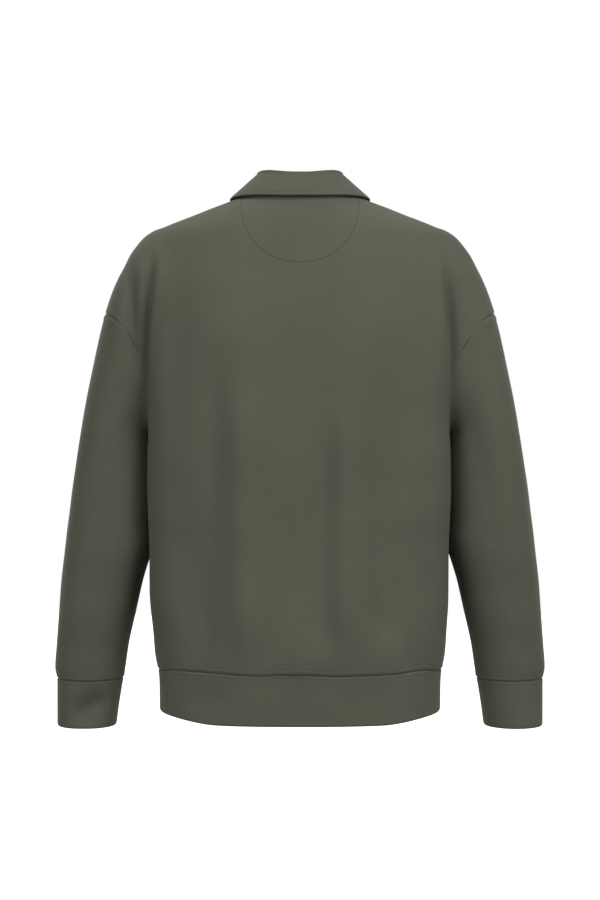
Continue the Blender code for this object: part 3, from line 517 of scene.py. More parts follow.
def oval(dx, dy, half_width, half_depth, squareness):
    """Nearly the distance out of a squared oval."""
    share = np.abs(dx / half_width) ** squareness + np.abs(dy / half_depth) ** squareness
    share = np.maximum(share ** (1 / squareness), 1e-9)
    return np.hypot(dx, dy) * (1 - 1 / share)


def trunk(x, y, z):
    depth = np.where(y >= 0, along(TRUNK, "back", z), along(TRUNK, "front", z))
    return oval(x, y, along(TRUNK, "half_width", z), depth, along(TRUNK, "squareness", z))


def sleeve_axis(z):
    middle = (along(SLEEVE, "outside", z) + along(SLEEVE, "inside", z)) / 2
    return middle, along(SLEEVE, "centre_y", z)


def sleeve(x, y, z):
    middle_x, middle_y = sleeve_axis(z)
    half = along(SLEEVE, "outside", z) - middle_x
    out = oval(
        np.abs(x) - middle_x, y - middle_y, half, along(SLEEVE, "half_depth", z),
        along(SLEEVE, "squareness", z),
    )
    return np.where(z > SLEEVE_TOP, 1.0, out)


def garment(x, y, z):
    a = trunk(x, y, z)
    b = sleeve(x, y, z)
    width = along(MELT, "width", z)
    mix = np.clip(0.5 + 0.5 * (b - a) / width, 0, 1)
    return b * (1 - mix) + a * mix - width * mix * (1 - mix)


def gradient(field, points, step=2e-4):
    slopes = []
    for axis in range(3):
        move = np.zeros(3)
        move[axis] = step
        ahead = field(*np.moveaxis(points + move, -1, 0))
        behind = field(*np.moveaxis(points - move, -1, 0))
        slopes.append((ahead - behind) / (2 * step))
    return np.stack(slopes, axis=-1)


def unit(vectors):
    return vectors / np.maximum(np.linalg.norm(vectors, axis=-1, keepdims=True), 1e-12)


def normals_on(field, points):
    return unit(gradient(field, points))


def settle(field, points, level=0.0, rounds=14):
    """Moves points along the slope of the field until they lie on it."""
    points = np.array(points, float)
    for _ in range(rounds):
        slope = gradient(field, points)
        off = field(*np.moveaxis(points, -1, 0)) - level
        size = np.maximum((slope**2).sum(-1), LEAST_SLOPE_SQUARE)
        move = -(off / size)[..., None] * slope
        far = np.maximum(np.linalg.norm(move, axis=-1, keepdims=True), 1e-12)
        points = points + move * np.minimum(1.0, MOST_MOVE / far)
    return points


def cast(field, start_x, start_y, turn, z, level=0.0, far=0.4):
    """Where level rays from inside a field first leave it. Turn 0 is +X."""
    start_x, start_y, turn, z = np.broadcast_arrays(
        *[np.asarray(v, float) for v in (start_x, start_y, turn, z)]
    )
    dx = np.cos(turn)
    dy = np.sin(turn)

    def outside(reach):
        return field(start_x + dx * reach, start_y + dy * reach, z) > level

    near = np.zeros(turn.shape)
    beyond = np.full(turn.shape, far)
    found = np.zeros(turn.shape, bool)
    for reach in np.linspace(0, far, 61)[1:]:
        out = outside(reach) & ~found
        beyond = np.where(out, reach, beyond)
        near = np.where(found | out, near, reach)
        found |= out
    near, _ = halved(near, beyond, lambda reach: ~outside(reach), 26)
    return np.stack([start_x + dx * near, start_y + dy * near, z], axis=-1)


def reaches(line):
    """How far along a line each of its points is."""
    return np.concatenate([[0], np.cumsum(np.linalg.norm(np.diff(line, axis=0), axis=1))])


def shares(line):
    """The same as shares of its length."""
    reach = reaches(line)
    return reach / reach[-1]


def length(line):
    return np.linalg.norm(np.diff(line, axis=0), axis=1).sum()


def read_at(place, reach, line):
    """The values along a line at some places between its own."""
    return np.stack([np.interp(place, reach, line[:, i]) for i in range(3)], axis=-1)


def respace(line, places):
    """Points at these shares of a line's length."""
    return read_at(places, shares(line), line)


# ---- seam lines ------------------------------------------------------------
def underarm_height():
    """The height at which the gap beside the trunk is bridged."""
    def open_at(z):
        gap = along(SLEEVE, "inside", z) - along(TRUNK, "half_width", z)
        return gap / 2 > along(MELT, "width", z) / 4

    low, high = halved(*UNDERARM_BETWEEN, open_at)
    return float(low + high) / 2


def valley(z, way):
    """The line between trunk and sleeve at each height. Way +1 is the back."""
    level = along(MELT, "width", z) / 4

    def point_at(turn):
        return cast(sleeve, *sleeve_axis(z), way * turn, z, level)

    def outside(turn):
        point = point_at(turn)
        return trunk(point[..., 0], point[..., 1], z) > level

    ends = (np.full(z.shape, np.radians(degrees)) for degrees in VALLEY_BETWEEN)
    return point_at(halved(*ends, outside, 30)[0])


def armhole(way, places):
    """The armhole seam from the shoulder down to the underarm, on +X."""
    turns = np.linspace(0, ARMHOLE[-1][0], 60)
    z = along(ARMHOLE, "back" if way > 0 else "front", turns)
    upper = cast(garment, *sleeve_axis(z), way * np.radians(turns), z)
    bottom = underarm_height()
    rise = np.linspace(1, 0.02, 50) ** 2
    lower = valley(bottom + (VALLEY_TOP - bottom) * rise, way)
    end = along(TRUNK, "half_width", bottom) + along(MELT, "width", bottom) / 4
    last = np.array([[float(end), float(along(SLEEVE, "centre_y", bottom)), bottom]])
    line = respace(np.concatenate([upper, lower, last]), np.linspace(0, 1, 161))
    for _ in range(40):
        line[1:-1] = (line[:-2] + 2 * line[1:-1] + line[2:]) / 4
    line[1:-1] = settle(garment, line[1:-1])
    return respace(line, places)


def neck_plan(turn, half_width, back, front):
    """A point of an oval round the neck. Turn 0 is the middle of the back."""
    depth = np.where(np.cos(turn) >= 0, back, front)
    return np.stack([half_width * np.sin(turn), depth * np.cos(turn)], axis=-1)


def edge_plan(turn):
    """The line under the collar's lower edge, squarer round the front."""
    bend = np.where(np.cos(turn) >= 0, 1.0, EDGE_SQUARENESS)
    depth = np.where(np.cos(turn) >= 0, EDGE_BACK, -EDGE_FRONT)
    across = EDGE_HALF_WIDTH * np.abs(np.sin(turn)) ** bend
    return np.stack([across, depth * np.abs(np.cos(turn)) ** bend], axis=-1)


def drop_on(field, plan):
    """Stands plan points on the top of a field."""
    ends = (np.full(plan.shape[:-1], z) for z in TOP_BETWEEN)
    low, high = halved(*ends, lambda z: ~(field(plan[..., 0], plan[..., 1], z) > 0))
    return np.concatenate([plan, ((low + high) / 2)[..., None]], axis=-1)


def neck_seam(turn):
    return drop_on(trunk, neck_plan(turn, NECK_HALF_WIDTH, NECK_BACK, NECK_FRONT))


def shoulder_seam(tip):
    """From the neck to the top of the armhole, along the ridge."""
    start = neck_seam(np.array([np.pi / 2]))[0]
    share = np.linspace(0, 1, 120)
    z = start[2] + (tip[2] - start[2]) * share
    line = cast(garment, 0.05, start[1] + (tip[1] - start[1]) * share, 0.0, z)
    line[0] = start
    line[-1] = tip
    return line


def hem_edge(x):
    """The hem's height, which rises a little towards the side seams."""
    share = np.clip((np.abs(x) - HEM_LIFT_FROM) / (HEM_LIFT_TO - HEM_LIFT_FROM), 0, 1)
    return HEM_EDGE + HEM_LIFT * eased(share)


# ---- grids of cloth --------------------------------------------------------
def steps(total, fine_start, fine_end, cell=CELL):
    """Shares of a length, with short steps at the ends that are seams."""
    strip = np.arange(1, round(FINE_STRIP / FINE_CELL) + 1) * FINE_CELL
    places = [0.0]
    if fine_start:
        places += list(strip)
    end = total - (strip[-1] if fine_end else 0.0)
    count = max(2, round((end - places[-1]) / cell))
    places += list(np.linspace(places[-1], end, count + 1)[1:])
    if fine_end:
        places += list(end + strip)
    return np.array(places) / total


def neck_turns(way, cell=CELL):
    """The turns of a panel's columns, from its middle to the shoulder seam."""
    start = 0.0 if way > 0 else np.pi - np.arcsin(SLIT_HALF_WIDTH / NECK_HALF_WIDTH)
    turn = np.linspace(start, np.pi / 2, 400)
    line = neck_seam(turn)
    return np.interp(steps(length(line), way < 0, False, cell), shares(line), turn)


def settle_inside(grid):
    grid[1:-1, 1:-1] = settle(garment, grid[1:-1, 1:-1])
    return grid


def evened(grid, down, across):
    """Slides a grid's inner points along the form until they lie evenly."""
    above = 1 / np.diff(down)[:-1, None, None]
    below = 1 / np.diff(down)[1:, None, None]
    left = 1 / np.diff(across)[None, :-1, None]
    right = 1 / np.diff(across)[None, 1:, None]
    tall = (1 / above + 1 / below) / 2
    wide = (1 / left + 1 / right) / 2
    above, below = above / tall, below / tall
    left, right = left / wide, right / wide
    total = above + below + left + right
    for k in range(EVEN_ROUNDS):
        inner = grid[1:-1, 1:-1]
        middle = above * grid[:-2, 1:-1] + below * grid[2:, 1:-1]
        middle = middle + left * grid[1:-1, :-2] + right * grid[1:-1, 2:]
        if k % EVEN_CHECK == 0:
            out = normals_on(garment, inner)
        move = middle / total - inner
        move = move - out * (move * out).sum(-1, keepdims=True)
        grid[1:-1, 1:-1] = inner + move
        if k % EVEN_CHECK == EVEN_CHECK - 1:
            grid[1:-1, 1:-1] = settle(garment, grid[1:-1, 1:-1], 0.0, 3)
    return settle_inside(grid)


def filled(top, bottom, left, right, across, down):
    """A grid between four edges that share their corners."""
    s = across[None, :, None]
    t = down[:, None, None]
    grid = (1 - t) * top[None] + t * bottom[None] + (1 - s) * left[:, None] + s * right[:, None]
    grid = grid - (1 - s) * (1 - t) * top[0] - s * (1 - t) * top[-1]
    return grid - (1 - s) * t * bottom[0] - s * t * bottom[-1]


def half_panel(way, middle):
    """Half a body panel from x = middle out to the side, as rows of points."""
    arm_line = armhole(way, np.linspace(0, 1, 301))
    arm_line = respace(arm_line, steps(length(arm_line), True, False))
    start = arm_line[-1]
    z = np.linspace(start[2], HEM_SEAM, 100)
    side_line = settle(garment, cast(trunk, 0.0, SIDE_SEAM_Y, 0.0, z))
    side_line[0] = start
    side_line = respace(side_line, steps(length(side_line), False, True))
    side = np.concatenate([arm_line[:-1], side_line])
    down = shares(side)
    neck = neck_seam(neck_turns(way))
    shoulder = shoulder_seam(arm_line[0])
    shoulder = respace(shoulder, steps(length(shoulder), False, True))
    top = np.concatenate([neck[:-1], shoulder])
    across = shares(top)
    ring_turn = np.linspace(np.pi / 2 * way, 0.0, 200)
    ring = cast(trunk, 0.0, SIDE_SEAM_Y, ring_turn, HEM_SEAM)
    if middle > 0:
        ring = ring[ring[:, 0] > middle]
        ring = np.concatenate([[[middle, ring[0, 1], HEM_SEAM]], ring])
    bottom = respace(ring, across)
    bottom[-1] = side[-1]
    z = np.linspace(top[0, 2], HEM_SEAM, 300)
    centre = cast(trunk, middle, 0.0, np.pi / 2 * way, z)
    centre[0] = top[0]
    slit_row, placed = 0, down
    if middle > 0:
        share = np.interp(-ZIP_BOTTOM, -centre[:, 2], shares(centre))
        slit_row = int(np.argmin(np.abs(down - share)))
        placed = np.interp(down, [0, down[slit_row], 1], [0, share, 1])
    centre = respace(centre, placed)
    bottom[0] = centre[-1]
    grid = filled(top, bottom, centre, side, across, down)
    return evened(settle_inside(grid), down, across), slit_row, len(neck)


def cells(rows, columns, ring=False):
    """Quads over a grid of points numbered row by row."""
    last = columns if ring else columns - 1
    i, j = np.meshgrid(np.arange(rows - 1), np.arange(last), indexing="ij")
    a = i * columns + j
    b = i * columns + (j + 1) % columns
    return np.stack([a, b, b + columns, a + columns], axis=-1).reshape(-1, 4)


def from_edge(grid, edge):
    """How far each point of a grid is from one of its edges, along the cloth."""
    axis = 0 if edge in ("top", "bottom") else 1
    size = np.linalg.norm(np.diff(grid, axis=axis), axis=-1)
    start = np.zeros_like(np.take(grid[..., 0], [0], axis=axis))
    if edge in ("top", "left"):
        return np.concatenate([start, np.cumsum(size, axis=axis)], axis=axis)
    back = np.flip(np.cumsum(np.flip(size, axis=axis), axis=axis), axis=axis)
    return np.concatenate([back, start], axis=axis)


def row_named(table, name):
    """A table's row by its first column, with the names of its columns."""
    return next(dict(zip(table[0], row)) for row in table[1:] if row[0] == name)


def seam(kind, distance):
    """Cloth sinks into a seam, stands proud over the allowances under it, and
    is pulled in along its stitches."""
    how = row_named(SEAMS, kind)
    over = 1 / (1 + np.exp((distance - how["allowance"]) / ALLOWANCE_EDGE))
    sunk = how["sink"] * np.exp(-((distance / how["reach"]) ** 2))
    pulled = how["pull"] * np.exp(-(((distance - how["stitch"]) / how["width"]) ** 2))
    return how["rise"] * over - sunk - pulled


def armhole_shows(z):
    """How deep the armhole seam lies: it is pressed flat towards the underarm."""
    above = np.clip((z - ARMHOLE_FLAT) / ARMHOLE_FADE, 0, 1)
    return ARMHOLE_LEAST + (1 - ARMHOLE_LEAST) * above


def creases_on(points, way):
    """How far a panel's points move for its folds, creases and lips."""
    x, z = points[..., 0], points[..., 2]
    move = np.zeros(x.shape)
    for table in (FOLDS, CREASES, LIPS):
        for side, x_top, top, x_bottom, bottom, half_width, depth in table[1:]:
            if side != way:
                continue
            share = np.clip((z - top) / (bottom - top), 0, 1)
            middle = x_top + (x_bottom - x_top) * share
            off = (x - middle) / half_width
            over = depth * np.exp(-off * off)
            if table is FOLDS:
                ends = np.clip(share / FOLD_START, 0, 1) * np.clip((1 - share) / FOLD_END, 0, 1)
                move += over * eased(ends)
            elif table is CREASES:
                move += over * np.sin(np.pi * share) ** CREASE_FADE
            else:
                move -= over * LIP_RATIO * off * np.sign(middle) * np.sin(np.pi * share)
    return move


def pocket_on(points):
    """How far the cloth beside the underarms stands off its form, along Y."""
    off_x = (np.abs(points[..., 0]) - POCKET_X) / POCKET_WIDTH
    off_z = (points[..., 2] - POCKET_Z) / POCKET_TALL
    return POCKET_RISE * np.exp(-off_x ** 2 - off_z ** 2) * np.tanh(points[..., 1] / SIDE_FADE)


def turn_off(points, centre_x, centre_y, turn):
    """How many degrees points are round a centre from a turn."""
    at = np.degrees(np.arctan2(points[..., 1] - centre_y, points[..., 0] - centre_x))
    return (at - turn + 180) % 360 - 180


def sleeve_creases_on(points, mirror):
    """Troughs and ridges round a sleeve, by the turn from its outside."""
    axis = sleeve_axis(points[..., 2])
    move = np.zeros(points.shape[:-1])
    for side, turn_top, top, turn_bottom, bottom, half_width, depth in SLEEVE_CREASES[1:]:
        if side != mirror:
            continue
        share = np.clip((points[..., 2] - top) / (bottom - top), 0, 1)
        off = turn_off(points, *axis, turn_top + (turn_bottom - turn_top) * share)
        across = np.radians(off) * SLEEVE_RADIUS / half_width
        move += depth * np.exp(-(across ** 2)) * np.sin(np.pi * share) ** CREASE_FADE
    return move


def dents_on(points, centre, node):
    """Soft dents in a band, by the turn from +X and the height."""
    move = np.zeros(points.shape[:-1])
    for band, turn, height, width, tall, depth in BAND_DENTS[1:]:
        if band == node:
            off = turn_off(points, *centre, turn) / width
            move += depth * np.exp(-(off ** 2) - (((points[..., 2] - height) / tall) ** 2))
    return move


def hem_wave(x, distance):
    """The rise of the hem seam, which dies away over the cloth beside it."""
    return along(HEM_WAVE, "rise", x) * np.exp(-((distance / WAVE_REACH) ** 2))


# ---- pieces ----------------------------------------------------------------
def link(name, data):
    item = bpy.data.objects.new(name, data)
    bpy.context.scene.collection.objects.link(item)
    return item


def rim_edges(faces):
    """Edges with one face only, each as it runs round that face."""
    runs = np.concatenate([faces[:, [k, (k + 1) % 4]] for k in range(4)])
    top = int(faces.max()) + 1
    ahead = runs[:, 0] * top + runs[:, 1]
    behind = runs[:, 1] * top + runs[:, 0]
    return runs[~np.isin(ahead, behind)]


def add_mesh(name, points, faces, materials, picks=None, smooth=True):
    mesh = bpy.data.meshes.new(name)
    mesh.from_pydata(np.asarray(points, float).tolist(), [], [list(map(int, f)) for f in faces])
    mesh.update()
    for material in materials:
        mesh.materials.append(material)
    if picks is not None:
        mesh.polygons.foreach_set("material_index", np.asarray(picks, np.int32))
    mesh.polygons.foreach_set("use_smooth", np.full(len(mesh.polygons), smooth))
    return link(name, mesh)


def faced_out(points, faces, normals):
    """The same faces, turned to look the way the normals do."""
    a, b, c = (points[faces[:, i]] for i in range(3))
    looks = (np.cross(b - a, c - a) * normals[faces[:, 0]]).sum()
    return faces if looks > 0 else faces[:, ::-1]


def draw_in(points, normals, faces, gap):
    """Moves the rim inwards along the cloth, by a gap."""
    into = {}
    for a, b in rim_edges(faces):
        run = unit(points[b] - points[a])
        for i in (a, b):
            into.setdefault(i, []).append(unit(np.cross(normals[i], run)))
    moved = points.copy()
    for i, sides in into.items():
        if len(sides) == 2:
            open_by = max(1 + float(np.dot(*sides)), SHARPEST_CORNER)
            moved[i] = points[i] + (sides[0] + sides[1]) / open_by * gap
    return moved


def shell(node, points, faces, normals, thickness, face=None):
    """A thin closed shell of cloth, its nap inside and its face outside."""
    faces = faced_out(points, faces, normals)
    used = np.unique(faces)
    number = np.full(len(points), -1)
    number[used] = np.arange(len(used))
    faces = number[faces]
    outer = points[used]
    inner = outer - normals[used] * thickness
    count = len(used)
    rim = rim_edges(faces)
    sides = np.stack([rim[:, 1], rim[:, 0], rim[:, 0] + count, rim[:, 1] + count], axis=-1)
    every = np.concatenate([faces, faces[:, ::-1] + count, sides])
    picks = np.concatenate([np.zeros(len(faces)), np.ones(len(faces)), np.zeros(len(sides))])
    both = np.concatenate([outer, inner])
    piece = add_mesh(node + "_cloth", both, every, [face or FACE, NAP], picks)
    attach(piece, "garment")
    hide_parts(node)
    return piece


def seamed(node, grid, normals, thickness, ring=False, face=None, left_out=()):
    """Cloth over a grid, half a seam gap short of each of its edges."""
    points = grid.reshape(-1, 3)
    ways = normals.reshape(-1, 3)
    faces = cells(*grid.shape[:2], ring)
    faces = faced_out(points, faces[~np.isin(faces[:, 0], left_out)], ways)
    return shell(node, draw_in(points, ways, faces, SEAM_GAP / 2), faces, ways, thickness, face)


def line_at(grid, normals, kind, edge, ring=False):
    """The line of stitches along the top or the bottom edge of a grid."""
    distance = row_named(SEAMS, kind)["stitch"]
    if ring:
        grid, normals = (np.concatenate([of, of[:, :1]], axis=1) for of in (grid, normals))
    far = from_edge(grid, edge)
    if edge == "bottom":
        far, grid, normals = far[::-1], grid[::-1], normals[::-1]
    points, ways = (
        np.stack([read_at(distance, far[:, j], of[:, j]) for j in range(of.shape[1])])
        for of in (grid, normals)
    )
    return points, unit(ways)


def tube_faces(first, rings, sides, flip=False):
    """Faces of a closed tube whose rings of points are numbered from first."""
    faces = []
    for ring in range(rings - 1):
        start = first + ring * sides
        for m in range(sides):
            a, b = start + m, start + (m + 1) % sides
            faces.append((b, a, a + sides, b + sides))
    last = first + (rings - 1) * sides
    faces.append(tuple(range(first, first + sides)))
    faces.append(tuple(range(last + sides - 1, last - 1, -1)))
    return [face[::-1] for face in faces] if flip else faces


def stitches(name, lines, size=1.0):
    """A piece of thread for each stitch along some lines on the cloth."""
    points = []
    faces = []
    turns = np.arange(STITCH_SIDES) * 2 * np.pi / STITCH_SIDES
    long, radius = STITCH_LENGTH * size, STITCH_RADIUS * size
    for line, ways in lines:
        reach = reaches(line)
        count = max(1, int(reach[-1] / STITCH_PITCH))
        spots = (np.arange(count) + 0.5) * reach[-1] / count
        centre = read_at(spots, reach, line)
        ahead = read_at(spots + STITCH_LOOK, reach, line)
        run = unit(ahead - read_at(spots - STITCH_LOOK, reach, line))
        side = unit(np.cross(run, unit(read_at(spots, reach, ways))))
        up = np.cross(side, run)
        for k in range(count):
            faces += tube_faces(len(points), len(STITCH_RINGS) - 1, STITCH_SIDES)
            for place, wide, lift in STITCH_RINGS[1:]:
                middle = centre[k] + run[k] * place * long + up[k] * lift * radius
                for turn in turns:
                    out = side[k] * np.cos(turn) + up[k] * np.sin(turn)
                    points.append(middle + out * radius * wide)
    piece = add_mesh(name, np.array(points), faces, [THREAD])
    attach(piece, "garment")
    return piece


def build_panels():
    """Back and front, with their hems' stitches."""
    made = {}
    for way, name in ((1, "back"), (-1, "front")):
        half, slit_row, neck_count = half_panel(way, 0.0 if way > 0 else SLIT_HALF_WIDTH)
        rows, columns = half.shape[:2]
        normals = normals_on(garment, half)
        top = from_edge(half, "top")
        at_neck = np.arange(columns)[None] < neck_count
        below = np.clip((SIDE_SEAM_TOP - half[..., 2]) / SIDE_SEAM_FADE, 0, 1)
        shows = np.maximum(armhole_shows(half[..., 2]), below)
        dent = np.where(at_neck, seam("neck", top), seam("shoulder", top))
        dent = dent + seam("panel side", from_edge(half, "right")) * shows
        dent = dent + seam("panel hem", from_edge(half, "bottom"))
        if way < 0:
            beside = np.arange(rows)[:, None] <= slit_row
            dent = dent + np.where(beside, seam("zip", from_edge(half, "left")), 0)
        cut = slice(None) if way < 0 else slice(None, -1)
        grid = np.concatenate([(half[:, ::-1] * MIRROR)[:, cut], half], axis=1)
        normals = np.concatenate([(normals[:, ::-1] * MIRROR)[:, cut], normals], axis=1)
        dent = np.concatenate([dent[:, ::-1][:, cut], dent], axis=1)
        stand = pocket_on(grid)
        grid = grid + normals * (dent + creases_on(grid, way))[..., None]
        grid[..., 1] += stand
        grid[..., 2] += hem_wave(grid[..., 0] * way, from_edge(grid, "bottom"))
        slit = np.arange(slit_row) * grid.shape[1] + columns - 1
        # The back's face has the half moon's groove and a painted shade along it
        face = MOON_GROOVE_AND_PAINTED_SHADE_FACE if way > 0 else FACE
        piece = seamed(name + "_panel", grid, normals, CLOTH, face=face, left_out=slit)
        line = line_at(grid, normals, "panel hem", "bottom")
        made[name] = {
            "cloth": piece,
            "hem": stitches(f"hem_stitches_{name}", [line]),
            "grid": grid,
            "normals": normals,
            "neck_count": neck_count,
            "columns": columns,
            "slit_row": slit_row,
        }
    return made


def half_moon_line():
    """The line of the half moon's edge on the back's outer face."""
    across = np.linspace(0, MOON_HALF_WIDTH, MOON_POINTS)
    drop = (1 - (across / MOON_HALF_WIDTH) ** MOON_SQUARENESS) ** (1 / MOON_SQUARENESS)
    half = np.stack([across, MOON_TOP - MOON_DEPTH * drop], axis=-1)
    whole = np.concatenate([half[:0:-1] * np.array([-1, 1]), half])
    line = cast(garment, whole[:, 0], MOON_START_Y, np.pi / 2, whole[:, 1])
    line = respace(line, np.linspace(0, 1, MOON_LINE_POINTS))
    return line, normals_on(garment, line)


def between(grid, row, column):
    """A grid's surface at rows and columns between its own."""
    i = np.clip(row.astype(int), 0, len(grid) - 2)
    j = np.clip(column.astype(int), 0, grid.shape[1] - 2)
    u = (row - i)[..., None]
    v = (column - j)[..., None]
    upper = grid[i, j] * (1 - v) + grid[i, j + 1] * v
    lower = grid[i + 1, j] * (1 - v) + grid[i + 1, j + 1] * v
    return upper * (1 - u) + lower * u


def build_patch(back):
    """The half moon inside the back neck, and its stitches outside."""
    inside = back["grid"] - back["normals"] * CLOTH
    reach = np.linspace(0, (back["neck_count"] - 1) * PATCH_SHARE, PATCH_COLUMNS)
    column = back["columns"] - 1 + np.concatenate([-reach[:0:-1], reach])
    row = np.linspace(0, PATCH_LAST_ROW, PATCH_PLACES)
    edge = []
    for place in column:
        line = between(inside, row, np.full(row.shape, float(place)))
        below = line[:, 2] < along(HALF_MOON, "edge", np.abs(line[:, 0]))
        edge.append(row[np.argmax(below)])
    share = np.linspace(0, 1, PATCH_ROWS)[:, None]
    row = PATCH_FIRST_ROW + (np.array(edge) - PATCH_FIRST_ROW) * share
    column = column + 0 * row
    normal = unit(between(back["normals"], row, column))
    outer = between(inside, row, column) - normal * PATCH_GAP
    patch = shell(
        "neck_patch", outer.reshape(-1, 3), cells(*row.shape), normal.reshape(-1, 3), PATCH_CLOTH
    )
    line, ways = half_moon_line()
    return patch, stitches("half_moon_stitches", [(line - ways * MOON_SINK, ways)], MOON_STITCH)


def turns_round(points, axis):
    """Turns of a ring's points round an axis, from 0 up to a full turn."""
    turn = np.arctan2(points[:, 1] - axis[1], points[:, 0] - axis[0])
    turn = np.where(turn < 0, turn + 2 * np.pi, turn)
    turn[0] = 0.0
    return turn


def build_sleeves():
    """Both sleeves, with the stitches over their cuffs."""
    made = []
    lines = [armhole(way, np.linspace(0, 1, 301)) for way in (1, -1)]
    back, front = (respace(line, steps(length(line), False, True)) for line in lines)
    loop = np.concatenate([back, front[-2:0:-1]])
    under = len(back) - 1
    axis = sleeve_axis(CUFF_SEAM)
    ring = cast(sleeve, *axis, np.linspace(0, 2 * np.pi, 361), CUFF_SEAM)
    ring = respace(ring, shares(np.concatenate([loop, loop[:1]])))[:-1]
    loop_turn = turns_round(loop, sleeve_axis(loop[:, 2]))
    ring_turn = turns_round(ring, axis)
    share = steps(SLEEVE_LENGTH, True, True)[:, None]
    turn = loop_turn + (ring_turn - loop_turn) * eased(share)
    z = loop[:, 2] + (CUFF_SEAM - loop[:, 2]) * share
    grid = cast(sleeve, *sleeve_axis(z), turn, z)
    grid[1:-1] = settle(garment, grid[1:-1])
    grid[0] = loop
    normals = normals_on(garment, grid)
    around = from_edge(grid, "left")
    dent = seam("sleeve top", from_edge(grid, "top")) * armhole_shows(loop[:, 2])
    dent = dent + seam("underarm", np.abs(around - around[:, [under]]))
    dent = dent + seam("sleeve cuff", from_edge(grid, "bottom"))
    for name, side in (("left", 1), ("right", -1)):
        flip = MIRROR if side < 0 else 1
        placed = grid * flip
        carried = np.where(grid[..., 1] > 0, creases_on(placed, 1), creases_on(placed, -1))
        carried = carried * np.clip(np.abs(grid[..., 1]) / SIDE_FADE, 0, 1)
        move = dent + sleeve_creases_on(grid, side) + carried
        shaped = grid + normals * move[..., None]
        shaped[..., 1] += pocket_on(grid)
        shaped = shaped * flip
        piece = seamed(f"sleeve_{name}", shaped, normals * flip, CLOTH, ring=True)
        line = line_at(shaped, normals * flip, "sleeve cuff", "bottom", ring=True)
        made.append((piece, stitches(f"sleeve_stitches_{name}", [line])))
    return made, ring


def build_band(node, field, centre, top, bottom, ring, flip=1):
    """A ring of doubled cloth from its seam down to its folded edge."""
    share = steps(float(np.mean(top - bottom)), True, True, BAND_CELL)[:, None]
    turn = np.arctan2(ring[:, 1] - centre[1], ring[:, 0] - centre[0])[None]
    grid = cast(field, *centre, turn + 0 * share, top + (bottom - top) * share)
    normals = normals_on(field, grid)
    normals[..., 2] = 0
    normals = unit(normals)
    upper = from_edge(grid, "top")
    dent = seam("band", upper) + seam("band edge", from_edge(grid, "bottom"))
    dent = dent + dents_on(grid, centre, node)
    grid = grid + normals * dent[..., None]
    if node == "hem_band":
        grid[..., 2] += hem_wave(grid[..., 0] * np.sign(grid[..., 1]), upper)
    grid = grid * flip
    normals = normals * flip
    piece = seamed(node, grid, normals, BAND_CLOTH, ring=True)
    line = line_at(grid, normals, "band", "top", ring=True)
    return piece, stitches(node + "_stitches", [line])


def build_bands(cuff_ring):
    """Both cuffs and the hem band."""
    axis = [float(v) for v in sleeve_axis(CUFF_SEAM)]
    made = [
        build_band(f"cuff_{side}", sleeve, axis, CUFF_SEAM, CUFF_EDGE, cuff_ring, flip)
        for side, flip in (("left", 1), ("right", MIRROR))
    ]
    ring = cast(trunk, 0.0, 0.0, np.linspace(0, 2 * np.pi, 241)[:-1], HEM_SEAM)
    made.append(build_band("hem_band", trunk, (0.0, 0.0), HEM_SEAM, hem_edge(ring[:, 0]), ring))
    return made


def fold_line(size, seam_height):
    """The line round which the collar folds, by the turn from the back's middle."""
    degrees = np.degrees(size)
    plan = neck_plan(size, FOLD_HALF_WIDTH, FOLD_BACK, FOLD_FRONT)
    plan[:, 0] = np.where(degrees > 90, np.maximum(plan[:, 0], FOLD_OPENING), plan[:, 0])
    height = seam_height + along(COLLAR, "fold_rise", degrees) - FOLD_RADIUS
    return np.concatenate([plan, height[:, None]], axis=1)


def edge_line(size):
    """The collar's lower edge, just clear of the cloth, back from the front."""
    degrees = np.degrees(size)
    drawn = 1 - (1 - POINT_TURN / FRONT_TURN) * (degrees - 90) / (FRONT_TURN - 90)
    edge = drop_on(garment, edge_plan(size * np.where(degrees > 90, drawn, 1)))
    edge = edge + normals_on(garment, edge) * (CLOTH + EDGE_CLEARANCE)
    edge[:, 2] += along(COLLAR, "edge_lift", degrees)
    return edge


def lifted_clear(points):
    """Points moved out along the form until they clear the cloth on it."""
    for _ in range(LIFT_ROUNDS):
        slope = gradient(garment, points)
        steepness = np.maximum(np.linalg.norm(slope, axis=-1), LEAST_SLOPE)
        away = garment(*np.moveaxis(points, -1, 0)) / steepness
        short = np.maximum(CLOTH + EDGE_CLEARANCE - away, 0)
        points = points + unit(slope) * short[..., None]
    return points


